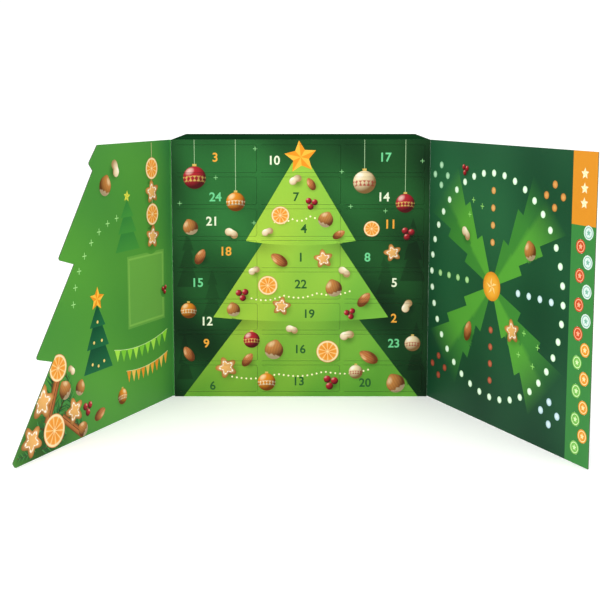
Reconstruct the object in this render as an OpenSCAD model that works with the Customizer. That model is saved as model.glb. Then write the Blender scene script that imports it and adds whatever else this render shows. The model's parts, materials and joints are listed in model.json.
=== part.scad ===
// Snack advent calendar: a deep carton with twenty-four numbered doors, a crate of
// interlocking dividers behind them, and two full-width wings hinged at the front edges.
// The left wing is die-cut to a half tree; the right wing is a game board whose round
// counters press out of a strip along its free edge.
//
// Frame: millimetres, +Z up, +X to the viewer's right, the doors face -Y.
// The origin is the middle of the carton's underside.

/* [Carton] */
// Width of the carton across the front
carton_w = 340; // [280:5:420]
// Height of the carton
carton_h = 346; // [290:2:420]
// Depth of the carton, front panel included
carton_d = 200; // [150:5:260]
// Thickness of the fluted outer board
board_t = 1.2; // [1:0.1:2.5]
// Outside radius of the carton's two folded back edges
fold_r = 2.4; // [1:0.1:5]

/* [Doors] */
// Board left standing between two doors
strip_w = 6; // [4:0.5:10]
// Board left standing outside the outermost doors
rim_w = 7; // [5:0.5:12]
// Width of the die-cut line round a door
cut_gap = 0.3; // [0.2:0.05:0.6]
// Radius of a door's two free corners
door_r = 3; // [1:0.5:8]

/* [Wings] */
// How much shorter a wing is than the carton's front
wing_short = 5; // [4:0.5:12]
// Height of a wing's lower edge above the carton's underside
wing_lift = 1; // [0.5:0.1:3]
// Gap between a folded board and the board that it folds against
fold_gap = 0.3; // [0.2:0.05:0.5]
// How far the wings stand open, measured from the closed front, in degrees
wing_open = 115; // [90:1:150]

/* [Tree outline of the left wing] */
// Height of the lowest tip above the wing's lower edge
tip_z = 6; // [3:0.5:15]
// How far the lower edge is cut back below the lowest tip
tip_cut = 4; // [2:0.5:10]
// Height from one tip to the next
tier_h = 106; // [80:1:120]
// How much less each tier reaches than the tier below it
tier_step = 45; // [20:1:55]
// How much less the small top tier reaches than the tier below it
crown_step = 63; // [30:1:70]
// Depth of the undercut below a tip
undercut = 30; // [10:1:45]
// Depth of the undercut below the top tier's tip
crown_undercut = 8; // [2:0.5:15]
// How far an undercut falls on its way in from the tip
undercut_fall = 9; // [4:0.5:15]
// Rise of the top tier's edge for each millimetre that it runs in
crown_rise = 1.15; // [0.8:0.05:2]
// Radius of the rounded tips
tip_r = 3; // [1:0.5:5]

/* [Game counters] */
// Diameter of a counter
counter_d = 16; // [10:0.5:18]
// Width of the die-cut line round a counter
counter_cut = 0.25; // [0.2:0.05:0.5]
// Width of the nicks that hold a counter in the board
nick_w = 0.8; // [0.5:0.1:1.5]
// Height from one counter to the next in the same column
counter_pitch = 32; // [28:0.5:36]
// Height of the lowest counter's middle above the wing's lower edge
counter_base = 18; // [14:0.5:30]
// Distance from the free edge to the outer column of counters
column_edge = 11.5; // [10.5:0.5:16]
// Distance between the two columns of counters
column_step = 12.5; // [10:0.5:18]

/* [Divider crate] */
// Thickness of the divider board
divider_t = 1; // [0.6:0.1:2]
// Gap between the crate and the carton's walls
crate_gap = 0.3; // [0.2:0.05:0.8]
// How much wider a cross-lap slot is than the board in it
lap_gap = 0.3; // [0.2:0.05:0.6]

/* [Snack packs] */
// Space between a closed door and the pack behind it
pack_setback = 34; // [15:1:50]
// Gap below a pack
pack_gap = 0.3; // [0.2:0.1:0.5]
// Thickness of two sheets of film at a seal
seal_t = 0.6; // [0.3:0.1:1]
// Space on each side of a nut pouch
pouch_side = 8; // [4:0.5:14]
// Space above a nut pouch
pouch_head = 12; // [6:0.5:18]
// Space behind a nut pouch
pouch_back = 24; // [10:1:40]
// Space on each side of a fruit sachet
sachet_side = 13; // [6:0.5:20]
// Space above a fruit sachet
sachet_head = 16; // [8:0.5:20]
// Space behind a fruit sachet
sachet_back = 40; // [15:1:50]
// Length of a sachet's flat top seal
sachet_seal = 14; // [8:1:20]
// Width of a snack bar
bar_w = 42; // [25:1:60]
// Height of a snack bar
bar_h = 20; // [12:0.5:24]
// Radius of a snack bar's long edges
bar_r = 6; // [2:0.5:6]
// Space behind a snack bar
bar_back = 30; // [10:1:50]
// Length of the flat crimp at each end of a snack bar's wrapper
bar_crimp = 9; // [5:0.5:15]

/* [Hidden] */
$fn = 64;
door_columns = 3;
door_rows = 8;
door_count = door_columns * door_rows;
// Doors in order of number are this many cells apart, so that the numbers lie scattered
number_stride = 7;
number_start = 3;
counters_per_colour = 4;
nick_count = 3;
// How far a cutting shape runs past the board that it cuts
cut_past = 1;

front_y = -carton_d / 2;
back_y = carton_d / 2;
panel_back_y = front_y + board_t;
inner_w = carton_w - 2 * board_t;

door_w = (carton_w - 2 * rim_w - (door_columns - 1) * strip_w) / door_columns;
door_h = (carton_h - 2 * rim_w - (door_rows - 1) * strip_w) / door_rows;
column_pitch = door_w + strip_w;
row_pitch = door_h + strip_w;
first_door_x = -carton_w / 2 + rim_w;

wing_w = carton_w - wing_short;
wing_h = carton_h - wing_lift;
crown_z = tip_z + 3 * tier_h;
crown_reach = wing_w - 2 * tier_step - crown_step;

crate_front_y = panel_back_y + crate_gap;
crate_back_y = back_y - board_t - crate_gap;
crate_d = crate_back_y - crate_front_y;
crate_mid_y = (crate_front_y + crate_back_y) / 2;
shelf_w = inner_w - 2 * crate_gap;
upright_h = carton_h - 2 * board_t - crate_gap;
upright_x = column_pitch / 2;
cell_w = column_pitch - divider_t;
cell_h = row_pitch - divider_t;
pack_front_y = panel_back_y + pack_setback;

function two_digits(n) = str(n < 10 ? "0" : "", n);
function door_name(n) = str("door_", two_digits(n));
function shelf_name(k) = str("shelf_", k);

// Cells run from the top left, row by row; a row is then counted from the bottom
function door_cell(n) = (n * number_stride + number_start) % door_count;
function cell_column(c) = c % door_columns;
function cell_row(c) = door_rows - 1 - floor(c / door_columns);
function door_x(c) = first_door_x + cell_column(c) * column_pitch;
function door_z(c) = rim_w + cell_row(c) * row_pitch;
function cell_x(c) = (cell_column(c) - (door_columns - 1) / 2) * column_pitch;

// Underside of shelf k, counted from the bottom, behind the strip between two rows of doors
function shelf_z(k) = rim_w + k * row_pitch - (strip_w + divider_t) / 2;
function floor_z(c) = cell_row(c) == 0 ? board_t : shelf_z(cell_row(c)) + divider_t;
function pack_kind(c) = (cell_row(c) + cell_column(c)) % 3;

// A sheet of board in the plane of the front: its outline lies in X and Z
module front_sheet(y, thickness) {
    translate([0, y + thickness, 0])
        rotate([90, 0, 0])
            linear_extrude(thickness)
                children();
}

// Outline of one door, square at the crease and rounded at its free corners
module door_outline(grow = 0) {
    translate([-grow, -grow])
        square([door_w - door_r + grow, door_h + 2 * grow]);
    translate([-grow, door_r])
        square([door_w + 2 * grow, door_h - 2 * door_r]);
    for (z = [door_r, door_h - door_r])
        translate([door_w - door_r, z])
            circle(door_r + grow);
}

// Plan of the carton behind the front panel, with folded edges at the back
module carton_plan() {
    translate([-carton_w / 2, panel_back_y])
        square([carton_w, carton_d - board_t - fold_r]);
    translate([-carton_w / 2 + fold_r, panel_back_y])
        square([carton_w - 2 * fold_r, carton_d - board_t]);
    for (side = [-1, 1])
        translate([side * (carton_w / 2 - fold_r), back_y - fold_r])
            circle(fold_r);
}

// Four walls and a back; the front panel closes the open side
module carton() {
    color("#1d4a2c")
        difference() {
            linear_extrude(carton_h)
                carton_plan();
            translate([-inner_w / 2, panel_back_y - cut_past, board_t])
                cube([inner_w, carton_d - 2 * board_t + cut_past, carton_h - 2 * board_t]);
        }
}

// The front panel with one window for each door
module front_panel() {
    color("#2c6a38")
        difference() {
            front_sheet(front_y, board_t)
                translate([-carton_w / 2, 0])
                    square([carton_w, carton_h]);
            front_sheet(front_y - cut_past, board_t + 2 * cut_past)
                for (c = [0 : door_count - 1])
                    translate([door_x(c), door_z(c)])
                        door_outline(cut_gap);
        }
}

// One door, hinged at its left edge by a crease in the printed face
module door(n) {
    color("#7cb93e")
        front_sheet(front_y, board_t)
            translate([door_x(door_cell(n)), door_z(door_cell(n))])
                door_outline();
}

// Half a tree: tiers that step in towards the top, each with an undercut below its tip
module tree_outline() {
    tiers = [for (i = [1, 2]) [wing_w - i * tier_step, tip_z + i * tier_h]];
    intersection() {
        square([wing_w, wing_h]);
        polygon(concat(
            [[0, 0], [wing_w - tip_cut, 0], [wing_w, tip_z]],
            [for (tip = tiers, end = [0, 1])
                end == 0 ? tip - [undercut, undercut_fall] : tip],
            [[crown_reach - crown_undercut, crown_z - undercut_fall]],
            [[crown_reach, crown_z]],
            [[0, crown_z + crown_reach * crown_rise]]
        ));
    }
}

// The left wing lies over the closed right wing, so a lip at the crease carries it clear
module left_wing() {
    lip_n = fold_gap + board_t;
    color("#4a9a3c")
        translate([-carton_w / 2, front_y, wing_lift])
            rotate([0, 0, -wing_open]) {
                front_sheet(-lip_n - fold_gap - board_t, board_t)
                    translate([fold_gap, 0]) {
                        offset(r = tip_r)
                            offset(delta = -tip_r)
                                tree_outline();
                        square([undercut, wing_h]);
                    }
                translate([fold_gap, -lip_n - fold_gap, 0])
                    cube([board_t, lip_n, wing_h]);
            }
}

// Places of the counters of one colour: along the wing from its crease, and up the wing
function counter_place(outer, upper, i) = [
    wing_w - column_edge - (outer ? 0 : column_step),
    counter_base + (outer ? counter_pitch / 2 : 0)
        + (i + (upper ? counters_per_colour : 0)) * counter_pitch
];

// Puts what follows in the right wing's own plane, with its crease at the left
module on_right_wing(y, thickness) {
    translate([carton_w / 2, front_y, wing_lift])
        rotate([0, 0, wing_open])
            mirror([1, 0, 0])
                front_sheet(y, thickness)
                    translate([fold_gap, 0])
                        children();
}

// The right wing, a plain rectangle with a round hole for each counter
module right_wing() {
    color("#1f5a3a")
        difference() {
            on_right_wing(-fold_gap - board_t, board_t)
                square([wing_w, wing_h]);
            on_right_wing(-fold_gap - board_t - cut_past, board_t + 2 * cut_past)
                for (outer = [false, true], upper = [false, true])
                    for (i = [0 : counters_per_colour - 1])
                        translate(counter_place(outer, upper, i))
                            circle(d = counter_d);
        }
}

// Four counters of one colour, each held in its hole by small uncut nicks
module counters(outer, upper, colour) {
    disc_r = counter_d / 2 - counter_cut;
    color(colour)
        on_right_wing(-fold_gap - board_t, board_t)
            for (i = [0 : counters_per_colour - 1])
                translate(counter_place(outer, upper, i)) {
                    circle(disc_r);
                    intersection() {
                        circle(d = counter_d);
                        for (k = [0 : nick_count - 1])
                            rotate(k * 360 / nick_count)
                                translate([0, -nick_w / 2])
                                    square([counter_d, nick_w]);
                    }
                }
}

// An upright divider, slotted from its front edge to take the shelves
module upright(side) {
    slot_d = crate_d / 2 + lap_gap / 2 + cut_past;
    color("#b9a58a")
        difference() {
            translate([side * upright_x - divider_t / 2, crate_front_y, board_t])
                cube([divider_t, crate_d, upright_h]);
            for (k = [1 : door_rows - 1])
                translate([side * upright_x - divider_t, crate_front_y - cut_past, shelf_z(k)])
                    cube([2 * divider_t, slot_d, divider_t + lap_gap]);
        }
}

// A shelf across all three columns, slotted from its back edge to pass the uprights
module shelf(k) {
    slot_d = crate_d / 2 + lap_gap / 2 + cut_past;
    slot_w = divider_t + lap_gap;
    color("#c8b497")
        difference() {
            translate([-shelf_w / 2, crate_front_y, shelf_z(k)])
                cube([shelf_w, crate_d, divider_t]);
            for (side = [-1, 1])
                translate([side * upright_x - slot_w / 2, crate_mid_y - lap_gap / 2,
                           shelf_z(k) - divider_t])
                    cube([slot_w, slot_d, 3 * divider_t]);
        }
}

// Places one pack in every cell of its kind, front edge forward and underside down
module in_cells(kind) {
    for (c = [0 : door_count - 1])
        if (pack_kind(c) == kind)
            translate([cell_x(c), pack_front_y, floor_z(c) + pack_gap])
                children();
}

// A circle's segment standing on its chord
module segment(chord, rise) {
    radius = (chord * chord / 4 + rise * rise) / (2 * rise);
    intersection() {
        translate([0, rise - radius])
            circle(radius);
        translate([-chord / 2, 0])
            square([chord, rise]);
    }
}

// A pillow pouch: a flat sealed rim with a crown that swells both ways
module nut_pouch() {
    pouch_w = cell_w - 2 * pouch_side;
    pouch_l = crate_back_y - pack_front_y - pouch_back;
    pouch_h = cell_h - pouch_head;
    translate([-pouch_w / 2, 0, 0])
        cube([pouch_w, pouch_l, seal_t]);
    intersection() {
        translate([0, pouch_l, 0])
            rotate([90, 0, 0])
                linear_extrude(pouch_l)
                    segment(pouch_w, pouch_h);
        translate([-pouch_w / 2, pouch_l / 2, 0])
            rotate([90, 0, 90])
                linear_extrude(pouch_w)
                    segment(pouch_l, pouch_h);
    }
}

module nut_pouches() {
    color("#b5522f")
        in_cells(0)
            nut_pouch();
}

// A sachet lying on its back: full at its base, flat at its top seal towards the door
module fruit_sachet() {
    sachet_w = cell_w - 2 * sachet_side;
    sachet_l = crate_back_y - pack_front_y - sachet_back;
    sachet_h = cell_h - sachet_head;
    translate([-sachet_w / 2, 0, 0])
        cube([sachet_w, sachet_l, seal_t]);
    intersection() {
        translate([0, sachet_l, 0])
            rotate([90, 0, 0])
                linear_extrude(sachet_l)
                    segment(sachet_w, sachet_h);
        translate([-sachet_w / 2, 0, 0])
            rotate([90, 0, 90])
                linear_extrude(sachet_w)
                    polygon([[sachet_seal, 0], [sachet_l, 0], [sachet_l, sachet_h]]);
    }
}

module fruit_sachets() {
    color("#d9a441")
        in_cells(1)
            fruit_sachet();
}

// A bar in a flow wrapper: rounded long edges and a flat crimp at each end
module snack_bar() {
    bar_l = crate_back_y - pack_front_y - bar_back;
    translate([0, bar_l - bar_crimp, 0])
        rotate([90, 0, 0])
            linear_extrude(bar_l - 2 * bar_crimp) {
                translate([-bar_w / 2 + bar_r, 0])
                    square([bar_w - 2 * bar_r, bar_h]);
                translate([-bar_w / 2, bar_r])
                    square([bar_w, bar_h - 2 * bar_r]);
                for (side = [-1, 1], z = [bar_r, bar_h - bar_r])
                    translate([side * (bar_w / 2 - bar_r), z])
                        circle(bar_r);
            }
    translate([-bar_w / 2, 0, (bar_h - seal_t) / 2])
        cube([bar_w, bar_l, seal_t]);
}

module snack_bars() {
    color("#7a4a2a")
        in_cells(2)
            snack_bar();
}

carton();
front_panel();
for (n = [1 : door_count])
    door(n);
left_wing();
right_wing();
counters(false, false, "#7cc25a");  // counters_green
counters(false, true, "#d2502a");  // counters_red
counters(true, false, "#f0a030");  // counters_orange
counters(true, true, "#dff2ea");  // counters_white
upright(-1);  // upright_left
upright(1);  // upright_right
for (k = [1 : door_rows - 1])
    shelf(k);
nut_pouches();
fruit_sachets();
snack_bars();
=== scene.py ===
# %% [markdown]
# # A snack advent calendar
# A deep carton stands with its two wings open. Its front holds twenty-four numbered doors, and a
# printed fir tree runs across all of them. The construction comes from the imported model. This
# lesson adds what a printer and a packer would add: inks, varnish, raw board and filled packs.

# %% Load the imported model
import json
import math

import bpy
import numpy as np
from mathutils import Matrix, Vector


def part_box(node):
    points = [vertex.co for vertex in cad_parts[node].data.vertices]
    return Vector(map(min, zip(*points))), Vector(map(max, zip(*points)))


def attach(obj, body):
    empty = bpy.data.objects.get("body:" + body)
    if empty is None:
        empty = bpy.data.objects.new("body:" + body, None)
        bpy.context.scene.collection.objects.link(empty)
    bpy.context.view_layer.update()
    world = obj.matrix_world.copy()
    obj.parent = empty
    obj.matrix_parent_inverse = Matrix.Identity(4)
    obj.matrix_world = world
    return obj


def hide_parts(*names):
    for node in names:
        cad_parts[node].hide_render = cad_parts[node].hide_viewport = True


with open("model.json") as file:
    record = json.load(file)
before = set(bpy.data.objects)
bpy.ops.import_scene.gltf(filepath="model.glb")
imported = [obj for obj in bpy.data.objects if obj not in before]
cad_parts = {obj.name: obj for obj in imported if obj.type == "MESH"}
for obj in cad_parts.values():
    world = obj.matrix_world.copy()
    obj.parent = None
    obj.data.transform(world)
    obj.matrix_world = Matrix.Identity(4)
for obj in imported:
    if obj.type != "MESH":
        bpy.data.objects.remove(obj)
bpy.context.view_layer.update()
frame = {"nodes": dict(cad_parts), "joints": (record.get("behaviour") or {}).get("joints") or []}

MM = 0.001
nodes = frame["nodes"]
joints = {joint["name"]: joint for joint in frame["joints"]}
print("nodes:", len(nodes), "joints:", len(joints))

# %% [markdown]
# ## Sizes that the model already holds
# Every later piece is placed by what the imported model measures, so no size of a board is repeated.
# Lengths on the object are millimetres until a mesh is written, which is in metres.


# %% Read the sizes
def corners(node):
    """The lowest and highest corner of a CAD node, in millimetres."""
    return [np.array(corner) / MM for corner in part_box(node)]


def vertices(node):
    """All vertices of a CAD node as an array of rows x, y, z, in millimetres."""
    flat = np.empty(len(nodes[node].data.vertices) * 3)
    nodes[node].data.vertices.foreach_get("co", flat)
    return flat.reshape(-1, 3) / MM


panel_low, panel_high = corners("front_panel")
carton_w, board_t, carton_h = panel_high - panel_low
half_w = carton_w / 2
front_y = panel_low[1]
back_y = corners("carton")[1][1]
COLUMNS, ROWS = 3, 8
door_names = [f"door_{number:02d}" for number in range(1, COLUMNS * ROWS + 1)]
print("front:", carton_w, "x", carton_h, "board:", board_t)

# %% [markdown]
# ## Camera
# The photograph looks straight at the doors from a little above the carton's top. Its upright
# edges stay almost parallel, as with a shifted lens, so a small tilt and a small shift share the
# work: more tilt would lean the wings, and more shift would crop the views from other sides.

# %% Camera
LENS = 68.6
SENSOR = 36
TILT_DOWN = 7.5
LENS_SHIFT = -0.0985
CAMERA_PLACE = (-1, -1604.5, 410)

camera = bpy.data.objects.new("camera", bpy.data.cameras.new("camera"))
bpy.context.collection.objects.link(camera)
camera.data.lens = LENS
camera.data.sensor_width = SENSOR
camera.data.shift_y = LENS_SHIFT
camera.location = np.array(CAMERA_PLACE) * MM
camera.rotation_euler = (math.radians(90 - TILT_DOWN), 0, 0)
bpy.context.scene.camera = camera
print("camera at", tuple(round(value, 3) for value in camera.location))

# %% [markdown]
# ## Colours and nodes
# Inks are written as sRGB hex values, as a printer would read them from a swatch, and one
# function turns them to the linear values that a renderer works in. Another adds a shader node
# with its settings and links, and its second half also serves the surface that a material ends in.


# %% Colour and node helpers
def ink(code):
    """Linear red, green and blue of an sRGB hex value: the standard curve, undone."""
    share = np.array([int(code[start:start + 2], 16) for start in (1, 3, 5)]) / 255
    return np.where(share <= 0.04045, share / 12.92, ((share + 0.055) / 1.055) ** 2.4)


def feed(node, inputs):
    """Sets a node's inputs. A value is a number, an ink's hex value or the socket to link."""
    for key, value in inputs.items():
        if isinstance(value, bpy.types.NodeSocket):
            node.id_data.links.new(value, node.inputs[key])
        else:
            node.inputs[key].default_value = (*ink(value), 1) if isinstance(value, str) else value


def add(tree, kind, inputs, **settings):
    """Adds a node of that kind with its settings and inputs."""
    made = tree.nodes.new("ShaderNode" + kind)
    for name, value in settings.items():
        setattr(made, name, value)
    feed(made, inputs)
    return made


def new_material(name):
    """A material with a Principled surface, its node tree and that surface."""
    made = bpy.data.materials.new(name)
    made.use_nodes = True
    return made, made.node_tree, made.node_tree.nodes["Principled BSDF"]


# Sockets of a Mix node that mixes colours
MIX_A, MIX_B, MIX_OUT = 6, 7, 2
print("pure white is", ink("#ffffff"))

# %% [markdown]
# ## Studio
# A catalogue picture like this is taken in a white room, on a sheet of white acrylic that is lit
# from below, so shadows stay pale. The sheet is one large square, since its edge never shows. The
# studio is laid out in metres.

# %% Studio: table
FLOOR_HALF = 60.0
TABLE_GLOW = 0.2


def make_mesh(name, points, faces, smooth=False):
    """A mesh object at the origin from an array of points in metres and an array of faces."""
    mesh = bpy.data.meshes.new(name)
    mesh.from_pydata(points.tolist(), [], faces.tolist())
    mesh.polygons.foreach_set("use_smooth", np.full(len(mesh.polygons), smooth))
    made = bpy.data.objects.new(name, mesh)
    bpy.context.collection.objects.link(made)
    return made


floor_points = np.array([(-1, -1, 0), (1, -1, 0), (1, 1, 0), (-1, 1, 0)]) * FLOOR_HALF
floor = make_mesh("studio_floor", floor_points, np.array([[0, 1, 2, 3]]))
acrylic, _, acrylic_surface = new_material("white acrylic light table")
feed(acrylic_surface, {"Base Color": "#fcfcfb", "Roughness": 0.95,
                       "Emission Color": "#ffffff", "Emission Strength": TABLE_GLOW})
floor.data.materials.append(acrylic)
print("table:", 2 * FLOOR_HALF, "m wide")

# %% [markdown]
# Most of the light comes evenly from the room. Two large soft boxes in front and one above add a
# little more, so the wings and the front differ slightly and the boards get a soft sheen.

# %% Studio: lights
ROOM_LIGHT = 1.05
# Place, aim and size in metres, and power in watts
LIGHTS = {
    "key_softbox": ((-1.1, -2.6, 2.2), (0, 0, 0.15), 1.6, 16),
    "fill_softbox": ((1.6, -2.4, 1.5), (0, 0, 0.15), 1.8, 9),
    "top_softbox": ((0, -0.2, 2.6), (0, -0.1, 0.1), 2.2, 10),
}
for name, (spot, aim, size, power) in LIGHTS.items():
    light = bpy.data.objects.new(name, bpy.data.lights.new(name, "AREA"))
    bpy.context.collection.objects.link(light)
    light.data.size = size
    light.data.energy = power
    light.location = spot
    toward = np.array(aim) - np.array(spot)
    flat = math.hypot(toward[0], toward[1])
    light.rotation_euler = (math.atan2(flat, -toward[2]), 0, math.atan2(-toward[0], toward[1]))

world = bpy.data.worlds.new("white room")
world.use_nodes = True
feed(world.node_tree.nodes["Background"], {"Color": "#ffffff", "Strength": ROOM_LIGHT})
bpy.context.scene.world = world
bpy.context.scene.view_settings.view_transform = "Standard"
print("lights:", list(LIGHTS))

# %% [markdown]
# ## Where the printed faces lie
# Three faces carry the pictures: the front, and the inner face of each wing. Each gets a small
# frame of its own: an origin, a direction along the board, and the direction out of the paper.
# The wings are read from their hinges, and a wing's own vertices say how deep its face lies.


# %% Printed faces
X, Y, Z = np.eye(3)


def turned(direction, degrees):
    """A flat direction turned about the upright axis by that angle."""
    angle = math.radians(degrees)
    x, y, z = direction
    return np.array([x * math.cos(angle) - y * math.sin(angle),
                     x * math.sin(angle) + y * math.cos(angle), z])


def wing_face(name, closed_along):
    """A wing's inner face: it shuts at its joint's lower limit, so rest is that angle away."""
    joint = joints[name + "_crease"]
    opened = -joint["range_deg"][0] * joint["axis"][2]
    hinge = np.array(joint["pos_m"]) / MM * [1, 1, 0]
    along, outward = turned(closed_along, opened), turned(Y, opened)
    reach = (vertices(name) - hinge) @ along
    depth = (vertices(name) - hinge) @ outward
    plate = reach > reach.max() / 2
    return {"origin": hinge + outward * depth[plate].max(), "along": along, "outward": outward,
            "body": name, "reach": reach.max()}


def back_of(face):
    """The same board's other face: one thickness deeper, looking the other way."""
    return {**face, "origin": face["origin"] - face["outward"] * board_t, "outward": -face["outward"]}


front_face = {"origin": front_y * Y, "along": X, "outward": -Y, "body": "carton"}
left_face, right_face = wing_face("left_wing", X), wing_face("right_wing", -X)
print("left wing reaches", round(left_face["reach"], 1), "right", round(right_face["reach"], 1))

# %% [markdown]
# ## Printed board
# The carton, the doors and the wings are fluted board: paper glued over a wavy core. Its liner
# waves a little over the flutes, about 3.3 mm apart, its ink shows some paper fibre, and the
# varnish gives a soft sheen. Every board shares this finish, so it is one function.

# %% Board finish
FLUTE = 3.3
# Real fibre is finer, but it wouldn't show in the render
FIBRE = 0.7
# A wave texture of scale 1 repeats every pi / 10
WAVE = math.pi / 10
# A matt lamination scatters the room's reflection, so the inks keep their depth
MATT = 0.1


def finish_board(tree, surface, place, tone, rough=(0.42, 0.58), shine=MATT, mottle=0.14, ior=1.46):
    """What all boards share: paper fibre in the ink, flutes under the liner, a satin varnish."""
    fibre = add(tree, "TexNoise", {"Vector": place, "Scale": 1 / (FIBRE * MM), "Detail": 3.0})
    speck = add(tree, "Mix", {0: mottle, MIX_A: tone, MIX_B: fibre.outputs["Color"]},
                data_type="RGBA", blend_type="SOFT_LIGHT")
    flutes = add(tree, "TexWave", {"Vector": place, "Scale": WAVE / (FLUTE * MM), "Distortion": 0.6},
                 bands_direction="X")
    bump = add(tree, "Bump", {"Height": flutes.outputs[0], "Strength": 0.04, "Distance": 0.1 * MM})
    gloss = add(tree, "MapRange", {0: fibre.outputs[0], 3: rough[0], 4: rough[1]})
    feed(surface, {"Base Color": speck.outputs[MIX_OUT], "Normal": bump.outputs[0],
                   "Roughness": gloss.outputs[0], "IOR": ior, "Specular IOR Level": shine})


print("flutes across the front:", round(carton_w / FLUTE))

# %% [markdown]
# Board has a printed liner outside, a bare liner inside and a raw core at the cut edges. The depth
# below the printed face tells these apart, so one material knows where it is on the sheet without
# any picture file: a plane through the board is a dot product and a comparison.

# %% Board by depth
LINER = 0.2
CLOUD = 70
RAW_CORE = ("#5d6449", "#474f38")


def over(tree, place, limits, start=1.0, operation="MULTIPLY"):
    """Joins a start value with one 0 or 1 for each limit, a direction and a level in mm.

    It is 1 where a point's distance along the direction is above the level.
    """
    for direction, level in limits:
        along = add(tree, "VectorMath", {0: place, 1: tuple(direction)}, operation="DOT_PRODUCT")
        above = add(tree, "Math", {0: along.outputs["Value"], 1: level * MM}, operation="GREATER_THAN")
        start = add(tree, "Math", {0: start, 1: above.outputs[0]}, operation=operation).outputs[0]
    return start


def clouded(tree, place, *pairs):
    """A colour socket for each pair of inks: light and dark in soft clouds, as ink dries on board."""
    cloud = add(tree, "TexNoise", {"Vector": place, "Scale": 1 / (CLOUD * MM), "Detail": 1.0})
    return [add(tree, "Mix", {0: cloud.outputs[0], MIX_A: dark, MIX_B: light},
                data_type="RGBA").outputs[MIX_OUT] for light, dark in pairs]


def board_material(name, face, front, back, wraps=(), zones=()):
    """Fluted board by depth: ink on the face, another on the back and bare core between.

    The face's ink runs over the edges in wraps, and a zone inks a part of the face otherwise.
    """
    made, tree, surface = new_material(name)
    place = add(tree, "TexCoord", {}).outputs["Object"]
    outward = face["outward"]
    level = float(face["origin"] @ outward)
    printed, rear, core = clouded(tree, place, front, back, RAW_CORE)
    for limits, code in zones:
        printed = add(tree, "Mix", {0: over(tree, place, limits), MIX_A: printed, MIX_B: code},
                      data_type="RGBA").outputs[MIX_OUT]
    on_face = over(tree, place, [(outward, level - LINER)])
    on_face = over(tree, place, wraps, on_face, "MAXIMUM")
    on_back = over(tree, place, [(-outward, board_t - LINER - level)])
    edged = add(tree, "Mix", {0: on_back, MIX_A: core, MIX_B: rear}, data_type="RGBA")
    tone = add(tree, "Mix", {0: on_face, MIX_A: edged.outputs[MIX_OUT], MIX_B: printed},
               data_type="RGBA")
    finish_board(tree, surface, place, tone.outputs[MIX_OUT])
    return made


print("a sheet is", round(board_t, 2), "mm of which", LINER, "mm are liner on each side")

# %% [markdown]
# The front's ink runs over the carton's outer edges, because the sheet is folded there. A wing's
# ink runs round its creased edge for the same reason. The strip with the counters at the game
# wing's free edge is green with an orange tab, and both are zones of that wing's material.

# %% Dress the boards
WRAP = 0.15
CREASE_WRAP = 1.0
# Where the counters' strip starts along the game wing, and where its tab starts above the foot
TAB_U, TAB_Z = 295.0, 266.0
DARK_GREEN = ("#24552f", "#173a22")
NIGHT_GREEN = ("#1d4e32", "#174429")
BARE_LINER = ("#cfc3ab", "#b9ab8e")


def dress(made, *names):
    """Gives CAD nodes one material in all their slots."""
    for name in names:
        nodes[name].data.materials.clear()
        nodes[name].data.materials.append(made)


def crease_wrap(face):
    """The limit of a wing's hinged edge, which is creased and not cut."""
    return [(-face["along"], -float(face["origin"] @ face["along"]) - CREASE_WRAP)]


outer_edges = [(X, half_w - WRAP), (-X, half_w - WRAP), (Z, carton_h - WRAP), (-Z, -WRAP)]
strip = (right_face["along"], float(right_face["origin"] @ right_face["along"]) + TAB_U)
dress(board_material("printed fluted board, front", front_face, ("#1f4c2a", "#163a20"), BARE_LINER,
                     wraps=outer_edges), "front_panel", *door_names)
dress(board_material("printed fluted board, tree wing", left_face, ("#4c9c3e", "#3a8640"), DARK_GREEN,
                     wraps=crease_wrap(left_face)), "left_wing")
dress(board_material("printed fluted board, game wing", right_face, ("#235c3c", "#1a4a33"), NIGHT_GREEN,
                     wraps=crease_wrap(right_face),
                     zones=[([strip], "#3c8440"), ([strip, (Z, TAB_Z)], "#dc8f28")]), "right_wing")
print("boards dressed:", len(door_names) + 3)

# %% [markdown]
# ## Pictures as flat meshes
# A printed picture could be an image file, but that has a fixed resolution. Here a picture is a
# set of flat coloured triangles, as in a vector drawing: each corner has a place x, z and an ink.
# A patch is a function of two parameters on a grid, and most motifs are discs: patches that sweep
# a radius round a point.


# %% Patches
def patch(rows, columns, shape, tint):
    """Triangles of a flat patch: shape(s, t) gives x and z, tint(s, t) its ink, s and t 0 to 1."""
    s, t = np.meshgrid(np.linspace(0, 1, rows + 1), np.linspace(0, 1, columns + 1), indexing="ij")
    x, z = shape(s, t)
    spots = np.concatenate([np.stack([x, z], -1), tint(s, t)], -1)
    a, b, c, d = spots[:-1, :-1], spots[1:, :-1], spots[1:, 1:], spots[:-1, 1:]
    halves = [np.stack(half, 2).reshape(-1, 3, 5) for half in ((a, b, c), (a, c, d))]
    return np.concatenate(halves)


def inked(rows, columns, shape, tone):
    """A patch whose ink is tone(x, z), worked out from where it lies."""
    return patch(rows, columns, shape, lambda s, t: tone(*shape(s, t)))


def box_shape(low, high):
    """The shape of an upright rectangle: t runs across it and s runs up."""
    return lambda s, t: (low[0] + (high[0] - low[0]) * t, low[1] + (high[1] - low[1]) * s)


def blend(first, second, weight):
    """One ink turning into another: first + (second - first) times weight, held to 0 to 1."""
    return first + (second - first) * np.clip(weight, 0, 1)[..., None]


def plain(code):
    """A tint of one ink all over."""
    return lambda s, t: np.broadcast_to(ink(code), (*s.shape, 3))


def disc(tint, rings, spokes, reach=np.ones_like):
    """A round patch: its radius is reach(angle), and tint(r, angle) inks it with r from 0 to 1."""
    def shape(s, t):
        angle = 2 * math.pi * t
        return s * reach(angle) * np.cos(angle), s * reach(angle) * np.sin(angle)
    return patch(rings, spokes, shape, lambda s, t: tint(s, 2 * math.pi * t))


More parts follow.
